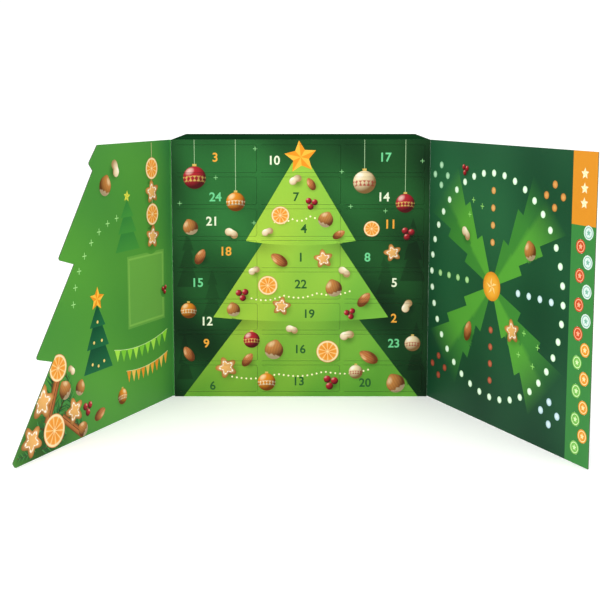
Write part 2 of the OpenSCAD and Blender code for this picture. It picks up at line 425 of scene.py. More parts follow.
print("a disc of one ring has", len(disc(plain("#ffffff"), 1, 14)), "triangles")

# %% [markdown]
# Copies of a motif are grown, turned and moved. A line is a patch that is one cell wide, and a
# soft shadow is a disc in the ground's own ink, because flat meshes can't be seen through.

# %% Copies, lines and shadows
SHADE_DARK = 0.42


def place(art, at, size, turn=0.0):
    """A copy of a motif: grown by size, turned by degrees and moved to a point."""
    angle = math.radians(turn)
    spin = np.array([[math.cos(angle), math.sin(angle)], [-math.sin(angle), math.cos(angle)]])
    made = art.copy()
    made[..., :2] = art[..., :2] @ spin * size + np.array(at)
    return made


def scatter(art, spots, size):
    """Copies of one motif at many points, as one picture."""
    return np.concatenate([place(art, at, size) for at in spots])


def facets(spots, codes):
    """Triangles given corner by corner, each with one ink."""
    tones = np.array([ink(code) for code in codes])
    return np.concatenate([np.asarray(spots, float), np.repeat(tones[:, None, :], 3, 1)], -1)


def ribbon(path, width, code):
    """A line of even width along rows of points: each point is pushed to both sides of the path."""
    path = np.asarray(path, float)
    ahead = np.gradient(path, axis=0)
    side = np.stack([-ahead[:, 1], ahead[:, 0]], -1)
    side *= width / 2 / np.linalg.norm(side, axis=1, keepdims=True)
    steps = len(path) - 1

    def shape(s, t):
        index = np.rint(t * steps).astype(int)
        spot = path[index] + side[index] * (2 * s - 1)[..., None]
        return spot[..., 0], spot[..., 1]
    return patch(1, steps, shape, plain(code))


def soft_shade(ground, at, size):
    """A soft shadow: the ground's ink times a share that rises from SHADE_DARK to 1 at its rim."""
    def tint(r, angle):
        under = ground(at[0] + size * r * np.cos(angle), at[1] + size * r * np.sin(angle))
        return under * (SHADE_DARK + (1 - SHADE_DARK) * r * r * (3 - 2 * r))[..., None]
    return place(disc(tint, 6, 24), at, size)


print("a straight line has", len(ribbon([(0, 0), (0, 1)], 0.1, "#ffffff")), "triangles")

# %% [markdown]
# ## Laying a picture on a board
# A page is a list of pictures with a layer each, and a layer lies 13 micrometres above the one
# below, so no two share a plane. The whole stack stays under 0.1 mm, which leaves the wings room
# to shut. The triangles become one mesh that rides with its board, and its inks go into a colour
# attribute that the varnished print reads. Ink sits a little unevenly on paper, as on the board.

# %% Print material and page
LIFT = 0.02
LAYER = 0.013
GROUND, FAR, SHAPE, SHADE, LINE, MOTIF, TOP = range(7)
# A triangle below this area in square millimetres is a sliver that the die left
SLIVER = 1e-4

print_ink, print_tree, print_surface = new_material("offset print under satin varnish")
print_colour = add(print_tree, "Attribute", {}, attribute_name="ink").outputs["Color"]
print_place = add(print_tree, "TexCoord", {}).outputs["Object"]
finish_board(print_tree, print_surface, print_place, print_colour, rough=(0.36, 0.52), mottle=0.1, ior=1.48)


def stacked(page):
    """A page as one array of triangles whose corners are x, z, red, green, blue and layer."""
    sheets = [np.concatenate([art, np.full((*art.shape[:2], 1), level)], -1) for level, art in page]
    return np.concatenate(sheets)


def set_inks(made, tones):
    """Writes an ink for every vertex of a mesh, with full cover, as its colour attribute."""
    cover = np.concatenate([tones, np.ones((len(tones), 1))], -1).astype(np.float32)
    inks = made.data.color_attributes.new("ink", "FLOAT_COLOR", "POINT")
    inks.data.foreach_set("color", cover.ravel())


def lay(name, triangles, face):
    """A print mesh: triangles turned to face outward, equal corners merged, inks as an attribute."""
    a, b, c = triangles[:, 0, :2], triangles[:, 1, :2], triangles[:, 2, :2]
    area = (b - a)[:, 0] * (c - a)[:, 1] - (b - a)[:, 1] * (c - a)[:, 0]
    outside = np.cross(face["along"], Z) @ face["outward"]
    triangles = np.where((area * outside < 0)[:, None, None], triangles[:, ::-1], triangles)
    triangles = triangles[np.abs(area) > SLIVER]
    spots, index = np.unique(triangles.reshape(-1, 6).round(5), axis=0, return_inverse=True)
    points = (face["origin"] + spots[:, :1] * face["along"] + spots[:, 1:2] * Z
              + (LIFT + LAYER * spots[:, 5:]) * face["outward"])
    made = make_mesh(name, points * MM, index.reshape(-1, 3))
    set_inks(made, spots[:, 2:5])
    made.data.materials.append(print_ink)
    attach(made, face["body"])


print("layers reach", round(LIFT + LAYER * TOP, 3), "mm above the board")

# %% [markdown]
# ## Ornaments and snacks
# The small pictures are baubles, biscuits, fruit slices, berries and nuts. Most are discs whose
# ink is worked out as a painter would shade them: a half ball lit from the upper left, with its
# own marks on top. Their triangles are few, because each picture is only 15 to 40 mm across.

# %% Baubles and berries
LAMP = (-0.46, 0.60, 0.65)
MOTIFS = {}


def lit(r, angle):
    """Light on a half ball drawn flat: its normal (r cos, r sin, sqrt(1 - r r)) on the lamp's."""
    out = np.sqrt(np.clip(1 - r * r, 0, 1))
    return np.clip(LAMP[0] * r * np.cos(angle) + LAMP[1] * r * np.sin(angle) + LAMP[2] * out, 0, 1)


def ball_tint(dark, mid, pale):
    """A ball's ink: dark to mid with the light, then pale where the light is full."""
    def tint(r, angle):
        light = lit(r, angle)
        body = blend(ink(dark), ink(mid), light * 1.15)
        return blend(body, ink(pale), (light - 0.88) * 6)
    return tint


def berries():
    """Three berries that touch: dark red balls with a small bright spot, a third of a turn apart."""
    ball = disc(ball_tint("#4a0a12", "#b0212c", "#f3b7a8"), 7, 22)
    turns = 0.3 + 2 * math.pi * np.arange(3) / 3
    return scatter(ball, [(0.53 * math.cos(turn), 0.53 * math.sin(turn)) for turn in turns], 0.455)


def bauble(dark, mid, pale, band):
    """A bauble: a shiny ball with a zigzag belt round its middle, and a cap on top."""
    shine = ball_tint(dark, mid, pale)

    def tint(r, angle):
        height = r * np.sin(angle) + 0.06 + 0.14 * r * r * np.cos(angle) ** 2
        zigzag = np.abs(height) < 0.2 * np.abs(np.sin(9 * r * np.cos(angle)))
        belt = (np.abs(height) < 0.24) & ~zigzag
        return blend(shine(r, angle), ink(band) * (0.45 + 0.6 * lit(r, angle))[..., None], belt * 0.9)

    cap = patch(1, 2, lambda s, t: ((t - 0.5) * 0.36, 1.0 + s * 0.2), plain("#d8b45c"))
    return np.concatenate([disc(tint, 14, 48), cap])


MOTIFS["berries"] = berries()
MOTIFS["red"] = bauble("#4a0b10", "#b32430", "#ffd9cc", "#f0c46a")
MOTIFS["cream"] = bauble("#7a5a33", "#ecd8ac", "#fffaf0", "#b3322c")
MOTIFS["amber"] = bauble("#6d3708", "#e08a22", "#ffe9b8", "#f7e6c0")
print("triangles:", {name: len(art) for name, art in MOTIFS.items()})

# %% [markdown]
# A nut is a disc whose radius changes with the angle, so that it gets a point, a drop shape or a
# dent. A bump of height h and width w in the radius is h exp(-(angle / w) squared).


# %% Nuts
def bump_at(angle, middle, width):
    """A round bump: 1 at its middle, falling as exp(-(angle / width) squared)."""
    return np.exp(-(((angle - middle) / width) ** 2))


def hazelnut():
    """A hazelnut: a ball with a soft point on top, fine stripes and a pale scar below."""
    shell = ball_tint("#5b3317", "#bd7d40", "#f0d2a2")

    def tint(r, angle):
        stripes = 0.10 * np.sin(22 * r * np.cos(angle))
        scar = r * np.sin(angle) < -0.52 + 0.06 * np.cos(7 * angle)
        tone = shell(r, angle) * (1 + stripes)[..., None]
        return blend(tone, ink("#dcc096") * (0.5 + 0.6 * lit(r, angle))[..., None], scar * 1.0)

    return disc(tint, 12, 44, lambda angle: 1 + 0.17 * bump_at(angle, math.pi / 2, 0.34))


def almond():
    """An almond: a narrow drop, an ellipse with a point at its top, with grooves along it."""
    skin = ball_tint("#6a3516", "#bd7440", "#ecc08c")

    def reach(angle):
        drop = 1 / np.sqrt((np.cos(angle) / 0.58) ** 2 + np.sin(angle) ** 2)
        return drop * (1 + 0.13 * bump_at(angle, math.pi / 2, 0.3))

    def tint(r, angle):
        grooves = 0.22 * np.sin(30 * r * reach(angle) * np.cos(angle))
        return skin(r, angle) * (1 + grooves)[..., None]

    return disc(tint, 12, 40, reach)


def kernel():
    """A blanched nut: a pale kernel of radius 0.72 + 0.2 cos 2 angle, with a dent at its foot."""
    return disc(ball_tint("#a88458", "#f2dfba", "#fffaf0"), 9, 36,
                lambda angle: 0.72 + 0.2 * np.cos(2 * angle) - 0.16 * bump_at(angle, 4.9, 0.5))


MOTIFS |= {"hazelnut": hazelnut(), "almond": almond(), "kernel": kernel()}
print("nuts:", [len(MOTIFS[name]) for name in ("hazelnut", "almond", "kernel")], "triangles")

# %% [markdown]
# Slices, biscuits and sticks have marks with clear edges: segments, icing and bark. A mark is a
# comparison of r and the angle, or of s and t, that switches to another ink.


# %% Slices, biscuits and sticks
def orange_slice():
    """A dried orange slice: peel, pith and ten segments between pale skins."""
    def tint(r, angle):
        skin = np.abs(np.sin(5 * angle)) * r < 0.1
        flesh = blend(ink("#e2791b"), ink("#f9b850"), 0.5 + 0.5 * np.cos(10 * angle) * (1 - r))
        tone = blend(flesh, ink("#f9dca4"), skin * (r < 0.86) * 0.9)
        tone = blend(tone, ink("#f6dfae"), (np.abs(r - 0.88) < 0.05) * 1.0)
        return blend(tone, ink("#d9661a"), (r > 0.94) * 1.0)

    return disc(tint, 14, 80)


def star_biscuit():
    """A star biscuit: radius 0.8 + 0.2 cos 5 angle, browned at its rim, with icing dots."""
    def tint(r, angle):
        baked = blend(ink("#e6ac64"), ink("#a5632c"), (r - 0.55) * 2.2)
        icing = (np.abs(r - 0.62) < 0.07) & (np.cos(15 * angle) > -0.2)
        tone = baked * (0.74 + 0.38 * lit(r * 0.8, angle))[..., None]
        return blend(tone, ink("#fbf3e2"), icing * 1.0)

    return disc(tint, 14, 60, lambda angle: 0.8 + 0.2 * np.cos(5 * (angle - math.pi / 2)))


def cinnamon():
    """A cinnamon stick: a long patch shaded across as a roll, with a dark slit along it."""
    def tint(s, t):
        across = np.abs(t - 0.5) * 2
        bark = blend(ink("#b8703a"), ink("#5c2e14"), across ** 2)
        grain = 1 + 0.12 * np.sin(40 * t + 3 * np.sin(9 * s))
        return blend(bark * grain[..., None], ink("#3f1e0d"), (np.abs(t - 0.42) < 0.05) * 0.9)

    return patch(8, 20, lambda s, t: ((t - 0.5) * 0.2, s - 0.5), tint)


MOTIFS |= {"slice": orange_slice(), "biscuit": star_biscuit(), "stick": cinnamon()}
print("slice, biscuit, stick:", [len(MOTIFS[name]) for name in ("slice", "biscuit", "stick")], "triangles")

# %% [markdown]
# Stars, twinkles, dots and twigs are used in many sizes and inks, so they stay functions. They are
# built of a few triangles each, because some are set by the dozen.

# %% Stars, dots and twigs
NEEDLE_PAIRS = 13
NEEDLE_LEAN = math.radians(48)


def gold_star(inner, light, dark):
    """A folded star: ten points on two radii, and each half arm light or dark by its side."""
    turns = math.pi / 2 + math.pi * np.arange(11) / 5
    radii = np.where(np.arange(11) % 2 == 0, 1.0, inner)
    rim = np.stack([radii * np.cos(turns), radii * np.sin(turns)], -1)
    spots = np.stack([np.zeros((10, 2)), rim[:-1], rim[1:]], 1)
    return facets(spots, [light, dark] * 5)


def sparkle(code):
    """A four-pointed twinkle: its radius falls from the points as cos 2 angle to the sixth."""
    return disc(plain(code), 1, 32, lambda angle: 0.2 + 0.8 * np.abs(np.cos(2 * angle)) ** 6)


def dot(code, spokes=14):
    """A plain round dot."""
    return disc(plain(code), 1, spokes)


def fir_twig():
    """A fir twig: needles in pairs that shorten towards its end, and a stem."""
    step = np.arange(NEEDLE_PAIRS) / (NEEDLE_PAIRS - 1)
    length = 0.36 - 0.16 * step
    foot = np.stack([np.zeros(NEEDLE_PAIRS), step * 0.9], -1)
    half = np.array([0.0, 0.03])
    needles = []
    for side in (-1, 1):
        tip = foot + np.stack([side * length * math.sin(NEEDLE_LEAN), length * math.cos(NEEDLE_LEAN)], -1)
        needles.append(np.stack([foot - half, tip, foot + half], 1))
    codes = [("#3f8a45", "#1f5a30", "#1f5a30")[k % 3] for k in range(2 * NEEDLE_PAIRS)]
    stem = patch(1, 1, lambda s, t: ((t - 0.5) * 0.04, s * 1.0), plain("#5b4426"))
    return np.concatenate([facets(np.concatenate(needles), codes), stem])


print("a star has", len(gold_star(0.5, "#ffffff", "#ffffff")), "triangles, a twig", len(fir_twig()))

# %% [markdown]
# Two helpers put them on a page: one stamps motifs with a soft shadow to their lower right, the
# other hangs round lamps along a line.

# %% Stamps and lamps
SHADE_STEP = (0.22, -0.26)
SHADE_SIZE = 1.18
LAMP_INK = "#fff3c4"


def stamp(page, ground, items):
    """Puts motifs on a page, given as kind, x, z, size and maybe a turn, over their shadows."""
    for kind, x, z, size, *turn in items:
        below = (x + SHADE_STEP[0] * size, z + SHADE_STEP[1] * size)
        page.append((SHADE, soft_shade(ground, below, SHADE_SIZE * size)))
        page.append((MOTIF, place(MOTIFS[kind], (x, z), size, *turn)))


def light_string(page, across, height, size, spacing):
    """Round lamps along a path, one at each step of the spacing by length."""
    path = np.stack([across, height], -1)
    run = np.concatenate([[0], np.cumsum(np.linalg.norm(np.diff(path, axis=0), axis=1))])
    stops = np.arange(spacing / 2, run[-1], spacing)
    spots = np.stack([np.interp(stops, run, path[:, axis]) for axis in (0, 1)], -1)
    page.append((LINE, scatter(dot(LAMP_INK, 12), spots, size)))


print("motifs:", sorted(MOTIFS))

# %% [markdown]
# ## The picture on the front
# One picture runs over the panel and all doors: a bright tree of three tiers on a dark wood, with
# a star, baubles on strings, lamps and snacks. Their grounds are inks worked out from the place:
# the wood glows in two spots and has painted shade at its sides, and the tree is lit from the left.

# %% Front: inks
# A tier's foot, half its width there, half its width at its top, and its top
TIERS = [(0.0, 158.0, 78.0, 109.0), (109.0, 117.0, 51.0, 212.0), (212.0, 73.0, 11.0, 316.0)]
TOP_TIER = len(TIERS) - 1
SAG = 6.0
# No tier lies above the top one, so the edge that would shade it is put far up
SKY = 900


def glow_at(x, z, middle, spread):
    """A soft round glow: 1 in its middle, falling as exp of minus the squared distance."""
    return np.exp(-(((x - middle[0]) / spread[0]) ** 2 + ((z - middle[1]) / spread[1]) ** 2))


def lower_edge(tier, x):
    """Height of a tier's lower edge: it sags by 6 mm at its middle and lifts to its tips."""
    base, half = TIERS[tier][:2]
    return base - (SAG * (1 - (x / half) ** 2) if tier else 0 * x)


def wood_ink(x, z):
    """The dark wood: lighter to the upper left, with slanting beams and painted shade at its sides."""
    glow = glow_at(x, z, (-92, 268), (90, 104)) + 0.48 * glow_at(x, z, (90, 262), (70, 80))
    beams = 0.16 * np.sin((0.8 * x + z) / 19) * np.sin((x - 0.4 * z) / 37)
    # edge is painted shade: the wood darkens towards its left and right edges, beside the wings
    edge = np.clip((np.abs(x) - 138) / 34, 0, 1) ** 2
    base = blend(ink("#072a10"), ink("#2f7637"), 0.14 + 0.72 * glow + beams)
    return base * (1 - 0.35 * edge)[..., None]


def tree_ink(tier, x, z):
    """Leaf green, yellow to the left and deep at the foot. Tips darken below the tier above."""
    folds = 0.10 * np.sin((x * 1.3 - z) / 23) * np.cos((x + z * 0.6) / 41)
    sunny = blend(ink("#a8cb40"), ink("#7fbb41"), 0.5 + x / 160 + folds)
    tone = blend(sunny, ink("#478c2b"), 0.76 - z / 250 + folds)
    half, top_half = TIERS[tier][1:3]
    rim = 1 + 0.16 * np.clip(1 - (z - lower_edge(tier, x)) / 11, 0, 1) * (x / half) ** 2
    above = lower_edge(tier + 1, x) if tier < TOP_TIER else SKY + 0 * x
    outer = 0.2 + 0.8 * np.clip(np.abs(x) / top_half, 0, 1) ** 2
    shade = 1 - 0.42 * outer * np.exp(-((np.clip(above - z, 0, 90) / 15) ** 2))
    return tone * (rim * shade)[..., None]


print("the tree is", 2 * TIERS[0][1], "mm wide and", TIERS[TOP_TIER][3], "mm high")

# %% [markdown]
# Each tier is a patch between its own lower edge and the lower edge of the tier above, so the
# tiers meet without lying on each other. Whether a point lies on a tier is needed again for the
# shadows, which take the ink of what is below them.


# %% Front: wood and tree
def on_tier(tier, x, z):
    """Whether a point lies between a tier's slanting sides and above its lower edge."""
    base, half, top_half, top = TIERS[tier]
    width = half + (top_half - half) * (z - base) / (top - base)
    return (z >= lower_edge(tier, x)) & (z < top) & (np.abs(x) < width)


def front_ground(x, z):
    """The ink under a motif on the front: the highest tier's there, or else the wood's."""
    tone = wood_ink(x, z)
    for tier in range(len(TIERS)):
        tone = np.where(on_tier(tier, x, z)[..., None], tree_ink(tier, x, z), tone)
    return tone


def tier_patch(tier):
    """A tier: rows run from its lower edge up to the lower edge of the tier above."""
    half, top_half, top = TIERS[tier][1:]

    def shape(s, t):
        low_x, high_x = (2 * t - 1) * half, (2 * t - 1) * top_half
        low_z = lower_edge(tier, low_x)
        high_z = lower_edge(tier + 1, high_x) if tier < TOP_TIER else np.full_like(s, top)
        return low_x + (high_x - low_x) * s, low_z + (high_z - low_z) * s

    return inked(26, 32, shape, lambda x, z: tree_ink(tier, x, z))


front_page = [(GROUND, inked(56, 56, box_shape((-half_w, 0), (half_w, carton_h)), wood_ink))]
front_page += [(SHAPE, tier_patch(tier)) for tier in range(len(TIERS))]
print("triangles so far:", sum(len(art) for _, art in front_page))

# %% [markdown]
# Far firs stand in the wood. A fir is three bands that narrow upwards and meet edge to edge. Far
# ones take a share of the wood's own ink, so they stay faint.

# %% Front: far firs
# A band's foot, half its width there, half its width at its top, and its top, as shares of a fir
FAR_BANDS = [(0.0, 0.5, 0.22, 0.34), (0.34, 0.38, 0.14, 0.66), (0.66, 0.26, 0.01, 1.0)]
# Place, width, height and share of the wood's ink
FAR_FIRS = [(-150, 150, 30, 74, 0.66), (-118, 112, 26, 62, 0.74), (149, 158, 34, 84, 0.62),
            (113, 140, 26, 58, 0.72), (-156, 24, 22, 62, 0.7), (155, 36, 24, 66, 0.66)]


def fir(at, width, height, bands, steps, tint):
    """A fir of tapered bands above a point, each inked by tint(s, t, x, z)."""
    def band(foot, half, top_half, top):
        def shape(s, t):
            wide = half + (top_half - half) * s
            return at[0] + (2 * t - 1) * wide * width, at[1] + (foot + (top - foot) * s) * height
        return patch(*steps, shape, lambda s, t: tint(s, t, *shape(s, t)))

    return np.concatenate([band(*limits) for limits in bands])


def far_fir(x, z, width, height, share):
    """A fir in a share of the wood's ink."""
    return fir((x, z), width, height, FAR_BANDS, (6, 2), lambda s, t, u, v: wood_ink(u, v) * share)


front_page.append((FAR, np.concatenate([far_fir(*limits) for limits in FAR_FIRS])))
print("far firs:", len(FAR_FIRS))

# %% [markdown]
# Baubles hang on thin strings from the upper edge. Snacks and biscuits lie on the tree as its
# ornaments and in the wood beside it, each with a soft shadow.

# %% Front: ornaments
# Kind, place, size and turn
HANGING = [("red", -140, 296, 15), ("amber", -86, 264, 12.5), ("cream", 84, 290, 15),
           ("red", 138, 262, 12.5)]
ON_TREE = [("kernel", -7, 293, 9.5, 30), ("berries", 14, 262, 9, 0), ("slice", -27, 246, 12, 12),
           ("hazelnut", 33, 240, 10, -24), ("almond", -28, 186, 12, 55), ("biscuit", 30, 188, 13, 8),
           ("kernel", 58, 170, 9.5, -40), ("slice", -44, 152, 13, 40), ("hazelnut", 44, 148, 11, 18),
           ("berries", -78, 140, 9.5, 20), ("almond", 84, 132, 11, -40),
           ("biscuit", -26, 124, 13, -10), ("kernel", 62, 84, 10.5, 15), ("red", -66, 78, 11, 0),
           ("slice", 36, 62, 15, 20), ("hazelnut", -36, 64, 12.5, -14), ("biscuit", -100, 40, 15, 22),
           ("almond", 92, 54, 13, 60), ("amber", -46, 20, 12, 0), ("berries", 40, 20, 11, 0),
           ("hazelnut", 128, 18, 12.5, 30),
           ("almond", 14, 287, 8.5, 30), ("kernel", -44, 224, 8.5, 20), ("almond", 50, 220, 8.5, -60),
           ("kernel", -62, 172, 8.5, 24), ("hazelnut", -90, 119, 9, 12), ("berries", 66, 114, 8.5, 30),
           ("almond", -72, 50, 10, -36), ("kernel", -12, 92, 9, -20), ("cream", 74, 34, 9.5, 0)]
IN_WOOD = [("hazelnut", -146, 230, 10, 20), ("kernel", -92, 222, 10, -30),
           ("berries", 142, 222, 9.5, 0), ("slice", 94, 228, 10.5, 0),
           ("almond", -134, 190, 10.5, -28), ("biscuit", 122, 196, 12, 14),
           ("amber", -150, 118, 10.5, 0), ("kernel", 142, 124, 10, 60), ("almond", -150, 58, 10.5, 30),
           ("cream", 150, 73, 10.5, 0)]
STRING_W = 0.7
for _, x, z, size in HANGING:
    front_page.append((LINE, ribbon([(x, carton_h), (x, z + 1.1 * size)], STRING_W, "#a9c99a")))
stamp(front_page, front_ground, HANGING + ON_TREE + IN_WOOD)
print("ornaments:", len(HANGING + ON_TREE + IN_WOOD))

# %% [markdown]
# Lamps follow a sagging line across every tier, a folded star stands on the top, and a few
# twinkles fill the wood.

# %% Front: lamps, star and twinkles
STAR_Z, STAR_R = 323, 22
STAR_INKS = ("#ffb93f", "#ee9322")
SPARKS = [(-60, 334), (54, 304), (-112, 296), (160, 318), (-160, 262), (-62, 236), (66, 258), (112, 252)]
# Half a lamp line's length and its height as shares of its tier, and how far its loops drop
LAMP_SPAN, LAMP_RISE, LAMP_DROP = 0.74, 0.30, 4.5
for base, half, top_half, top in TIERS:
    across = np.linspace(-LAMP_SPAN, LAMP_SPAN, 60)
    width = half + (top_half - half) * 0.36
    swag = base + (top - base) * LAMP_RISE - LAMP_DROP * np.abs(np.cos(across * 6.5)) + 7 * across
    light_string(front_page, across * width, swag, 1.25, 6.4)
front_page.append((MOTIF, place(gold_star(0.5, *STAR_INKS), (0, STAR_Z), STAR_R, 6)))
front_page.append((LINE, scatter(sparkle("#8fd08a"), SPARKS, 3.2)))
print("triangles so far:", sum(len(art) for _, art in front_page))

# %% [markdown]
# ## Door numbers
# A door's number comes from Blender's own text, made a mesh before it is placed. That is quicker
# than drawing ten figures, and the curve is removed again once its triangles are read.


# %% Figures
def glyphs(number):
    """A number as flat triangles one unit high, centred, taken from a text curve's mesh."""
    curve = bpy.data.curves.new("numeral", "FONT")
    curve.body = str(number)
    curve.offset = 0.02
    text = bpy.data.objects.new("numeral", curve)
    bpy.context.collection.objects.link(text)
    mesh = bpy.data.meshes.new_from_object(text.evaluated_get(bpy.context.evaluated_depsgraph_get()))
    mesh.calc_loop_triangles()
    spots = np.empty(len(mesh.vertices) * 3)
    mesh.vertices.foreach_get("co", spots)
    index = np.empty(len(mesh.loop_triangles) * 3, int)
    mesh.loop_triangles.foreach_get("vertices", index)
    flat = spots.reshape(-1, 3)[:, :2]
    low, high = flat.min(0), flat.max(0)
    flat = (flat - (low + high) / 2) / (high[1] - low[1])
    bpy.data.objects.remove(text)
    bpy.data.curves.remove(curve)
    bpy.data.meshes.remove(mesh)
    return flat[index].reshape(-1, 3, 2)


print("a 1 has", len(glyphs(1)), "triangles")

# %% [markdown]
# Doors keep the places that the model gives them. A number takes dark ink on the tree and bright
# ink in the wood, and it steps aside from the ornament that shares its door.

# %% Numbers
NUMBER_H = 12
# Steps from a door's middle, by row and column from the top left
NUMBER_STEPS = [(-2, 2), (-34, -2), (2, 2), (-2, -8), (-6, -8), (0, -8), (-8, 2), (4, -8), (8, -2),
                (12, 4), (0, -4), (-22, -4), (-26, 4), (0, 2), (14, 4), (-14, -6), (12, 4), (14, -2),
                (-16, 6), (0, -2), (14, 6), (-8, -10), (-2, -4), (-24, -6)]
TREE_NUMBER = "#26592a"
WOOD_NUMBERS = ["#f0a63c", "#6fcf8f", "#e9f0d2"]
for number, name in enumerate(door_names, 1):
    low, high = corners(name)
    middle = (low + high) / 2
    column = int((middle[0] + half_w) // (carton_w / COLUMNS))
    row = int((carton_h - middle[2]) // (carton_h / ROWS))
    at = middle[[0, 2]] + NUMBER_STEPS[row * COLUMNS + column]
    on_tree = any(on_tier(tier, *at) for tier in range(len(TIERS)))
    tone = TREE_NUMBER if on_tree else WOOD_NUMBERS[(number * 5 + row) % len(WOOD_NUMBERS)]
    spots = glyphs(number) * NUMBER_H + at
    front_page.append((MOTIF, facets(spots, [tone] * len(spots))))
print("numbers set:", len(door_names))

# %% [markdown]
# ## Cutting the picture to the doors
# The die cuts the printed sheet, so each door takes the part of the picture inside its outline and
# the panel keeps the rest. A triangle is cut by one straight line after another: what lies inside
# stays, and a triangle that crosses becomes one or two smaller ones.


# %% Cutting by a line
def cut(triangles, at, outward):
    """Keeps what lies behind a line: whole triangles, and the inner parts of those that cross."""
    depth = (triangles[..., :2] - np.asarray(at)) @ np.asarray(outward)
    count = (depth <= 0).sum(1)
    kept = [triangles[count == 3]]
    for held in (1, 2):
        some, level = triangles[count == held], depth[count == held]
        single = np.argmax((level <= 0) if held == 1 else (level > 0), 1)
        order = (single[:, None] + np.arange(3)) % 3
        rows = np.arange(len(some))[:, None]
        some, level = some[rows, order], level[rows, order]
        share = level[:, :1] / (level[:, :1] - level[:, 1:])
        crossing = some[:, :1] + (some[:, 1:] - some[:, :1]) * share[..., None]
        a, b, c, ab, ac = some[:, 0], some[:, 1], some[:, 2], crossing[:, 0], crossing[:, 1]
        parts = [(a, ab, ac)] if held == 1 else [(ab, b, c), (ab, c, ac)]
        kept += [np.stack(part, 1) for part in parts]
    return np.concatenate(kept)


def inside(triangles, outline):
    """The part of a page inside a convex outline, given as points that run round to the left."""
    low, high = triangles[..., :2].min(1), triangles[..., :2].max(1)
    near = ((low < outline.max(0)) & (high > outline.min(0))).all(1)
    triangles = triangles[near]
    for start, end in zip(outline, np.roll(outline, -1, 0)):
        along = end - start
        triangles = cut(triangles, start, np.array([along[1], -along[0]]))
    return triangles


picture = stacked(front_page)
print("page:", len(picture), "triangles")

# %% [markdown]
# A door's outline is read from the model: the corners of its front face, in order round its
# middle. Its part of the print rides on the door, so the picture divides when the door opens.

# %% Door prints
ON_PLANE = 0.01


def door_outline(name):
    """A door's outline, read from the corners of its own front face, in order round its middle."""
    spots = vertices(name)
    flat = np.unique(spots[np.abs(spots[:, 1] - front_y) < ON_PLANE][:, [0, 2]].round(3), axis=0)
    from_middle = flat - (flat.min(0) + flat.max(0)) / 2
    return flat[np.argsort(np.arctan2(from_middle[:, 1], from_middle[:, 0]))]


outlines = {name: door_outline(name) for name in door_names}
for name in door_names:
    lay(name + "_print", inside(picture, outlines[name]), {**front_face, "body": name})
print("a door's outline has", len(outlines[door_names[0]]), "points")

# %% [markdown]
# The panel between the windows is upright bars and short cross bars. At a window's two rounded
# corners a small bit of board is left: it is a fan of triangles from the corner to the curve. The
# printed liner runs on to a door's left edge, because that edge is creased and not cut.

# %% Panel print
CUT_GAP = 0.3
CORNER_R = 3
CORNER_ZONE = 4


def rectangle(low, high):
    """The corners of an upright rectangle, running round to the left."""
    return np.array([(low[0], low[1]), (high[0], low[1]), (high[0], high[1]), (low[0], high[1])], float)


def corner_fan(outline, rise):
    """What a rounded corner leaves: triangles from the window's corner to the die's curve."""
    low, high = outline.min(0), outline.max(0)
    tip = np.array([high[0], high[1] if rise > 0 else low[1]]) + CUT_GAP * np.array([1, rise])
    curve = outline[(np.abs(outline - tip) < CORNER_ZONE).all(1)]
    curve = curve[np.argsort(curve[:, 1])]
    out = curve - (tip - np.array([1, rise]) * (CORNER_R + CUT_GAP))
    curve = curve + out / np.linalg.norm(out, axis=1, keepdims=True) * CUT_GAP
    return [np.array([tip, b, a]) for a, b in zip(curve[:-1], curve[1:])]


def turned_left(outline):
    """The same outline, running round to the left: reversed where its area comes out negative."""
    after = np.roll(outline, -1, 0)
    area = (outline[:, 0] * after[:, 1] - outline[:, 1] * after[:, 0]).sum()
    return outline if area > 0 else outline[::-1]


lows = np.array([outline.min(0) for outline in outlines.values()]).round(2)
highs = np.array([outline.max(0) for outline in outlines.values()]).round(2)
left_x, right_x = np.unique(lows[:, 0]), np.unique(highs[:, 0]) + CUT_GAP
low_z, high_z = np.unique(lows[:, 1]) - CUT_GAP, np.unique(highs[:, 1]) + CUT_GAP
bars = [rectangle((a, 0), (b, carton_h)) for a, b in zip([-half_w, *right_x], [*left_x, half_w])]
for a, b in zip(left_x, right_x):
    bars += [rectangle((a, c), (b, d)) for c, d in zip([0, *high_z], [*low_z, carton_h])]
for outline in outlines.values():
    bars += corner_fan(outline, -1) + corner_fan(outline, 1)
panel = np.concatenate([inside(picture, turned_left(bar)) for bar in bars])
lay("front_panel_print", panel, front_face)
print("panel bars and corners:", len(bars), "triangles:", len(panel))

# %% [markdown]
# ## The tree wing
# The left wing is die-cut to half a tree, so its picture can't be a rectangle. Each row of its
# ground patch runs from the crease to the outline at that height, and the outline is read from
# the wing's own corners, so the print ends just inside the cut edge.

# %% Tree wing: ground
RIM = 0.15
CREASE = 0.4
# Corners nearer to the crease than this belong to the hinged edge
HINGED = 60
# Extra rows just below and above a tip keep its corner sharp
TIP_STEP = 0.05


def face_spots(node, face):
    """A node's vertices on one face of its board, as rows u and z in that face's own frame."""
    away = vertices(node) - face["origin"]
    on_it = np.abs(away @ face["outward"]) < ON_PLANE
    return np.stack([away[on_it] @ face["along"], away[on_it][:, 2]], -1)


cut_edge = face_spots("left_wing", left_face)
cut_edge = np.unique(cut_edge[cut_edge[:, 0] > HINGED].round(3), axis=0)
cut_edge = cut_edge[np.argsort(cut_edge[:, 1])]
reaches, heights = cut_edge.T
wing_low, wing_high = heights[0] + RIM, heights[-1] - RIM
tips = heights[1:-1][(reaches[1:-1] > reaches[:-2]) & (reaches[1:-1] >= reaches[2:])]
rows = [heights[1:-1], np.linspace(wing_low, wing_high, 60), tips - TIP_STEP, tips + TIP_STEP]
levels = np.clip(np.unique(np.concatenate(rows)), wing_low, wing_high)


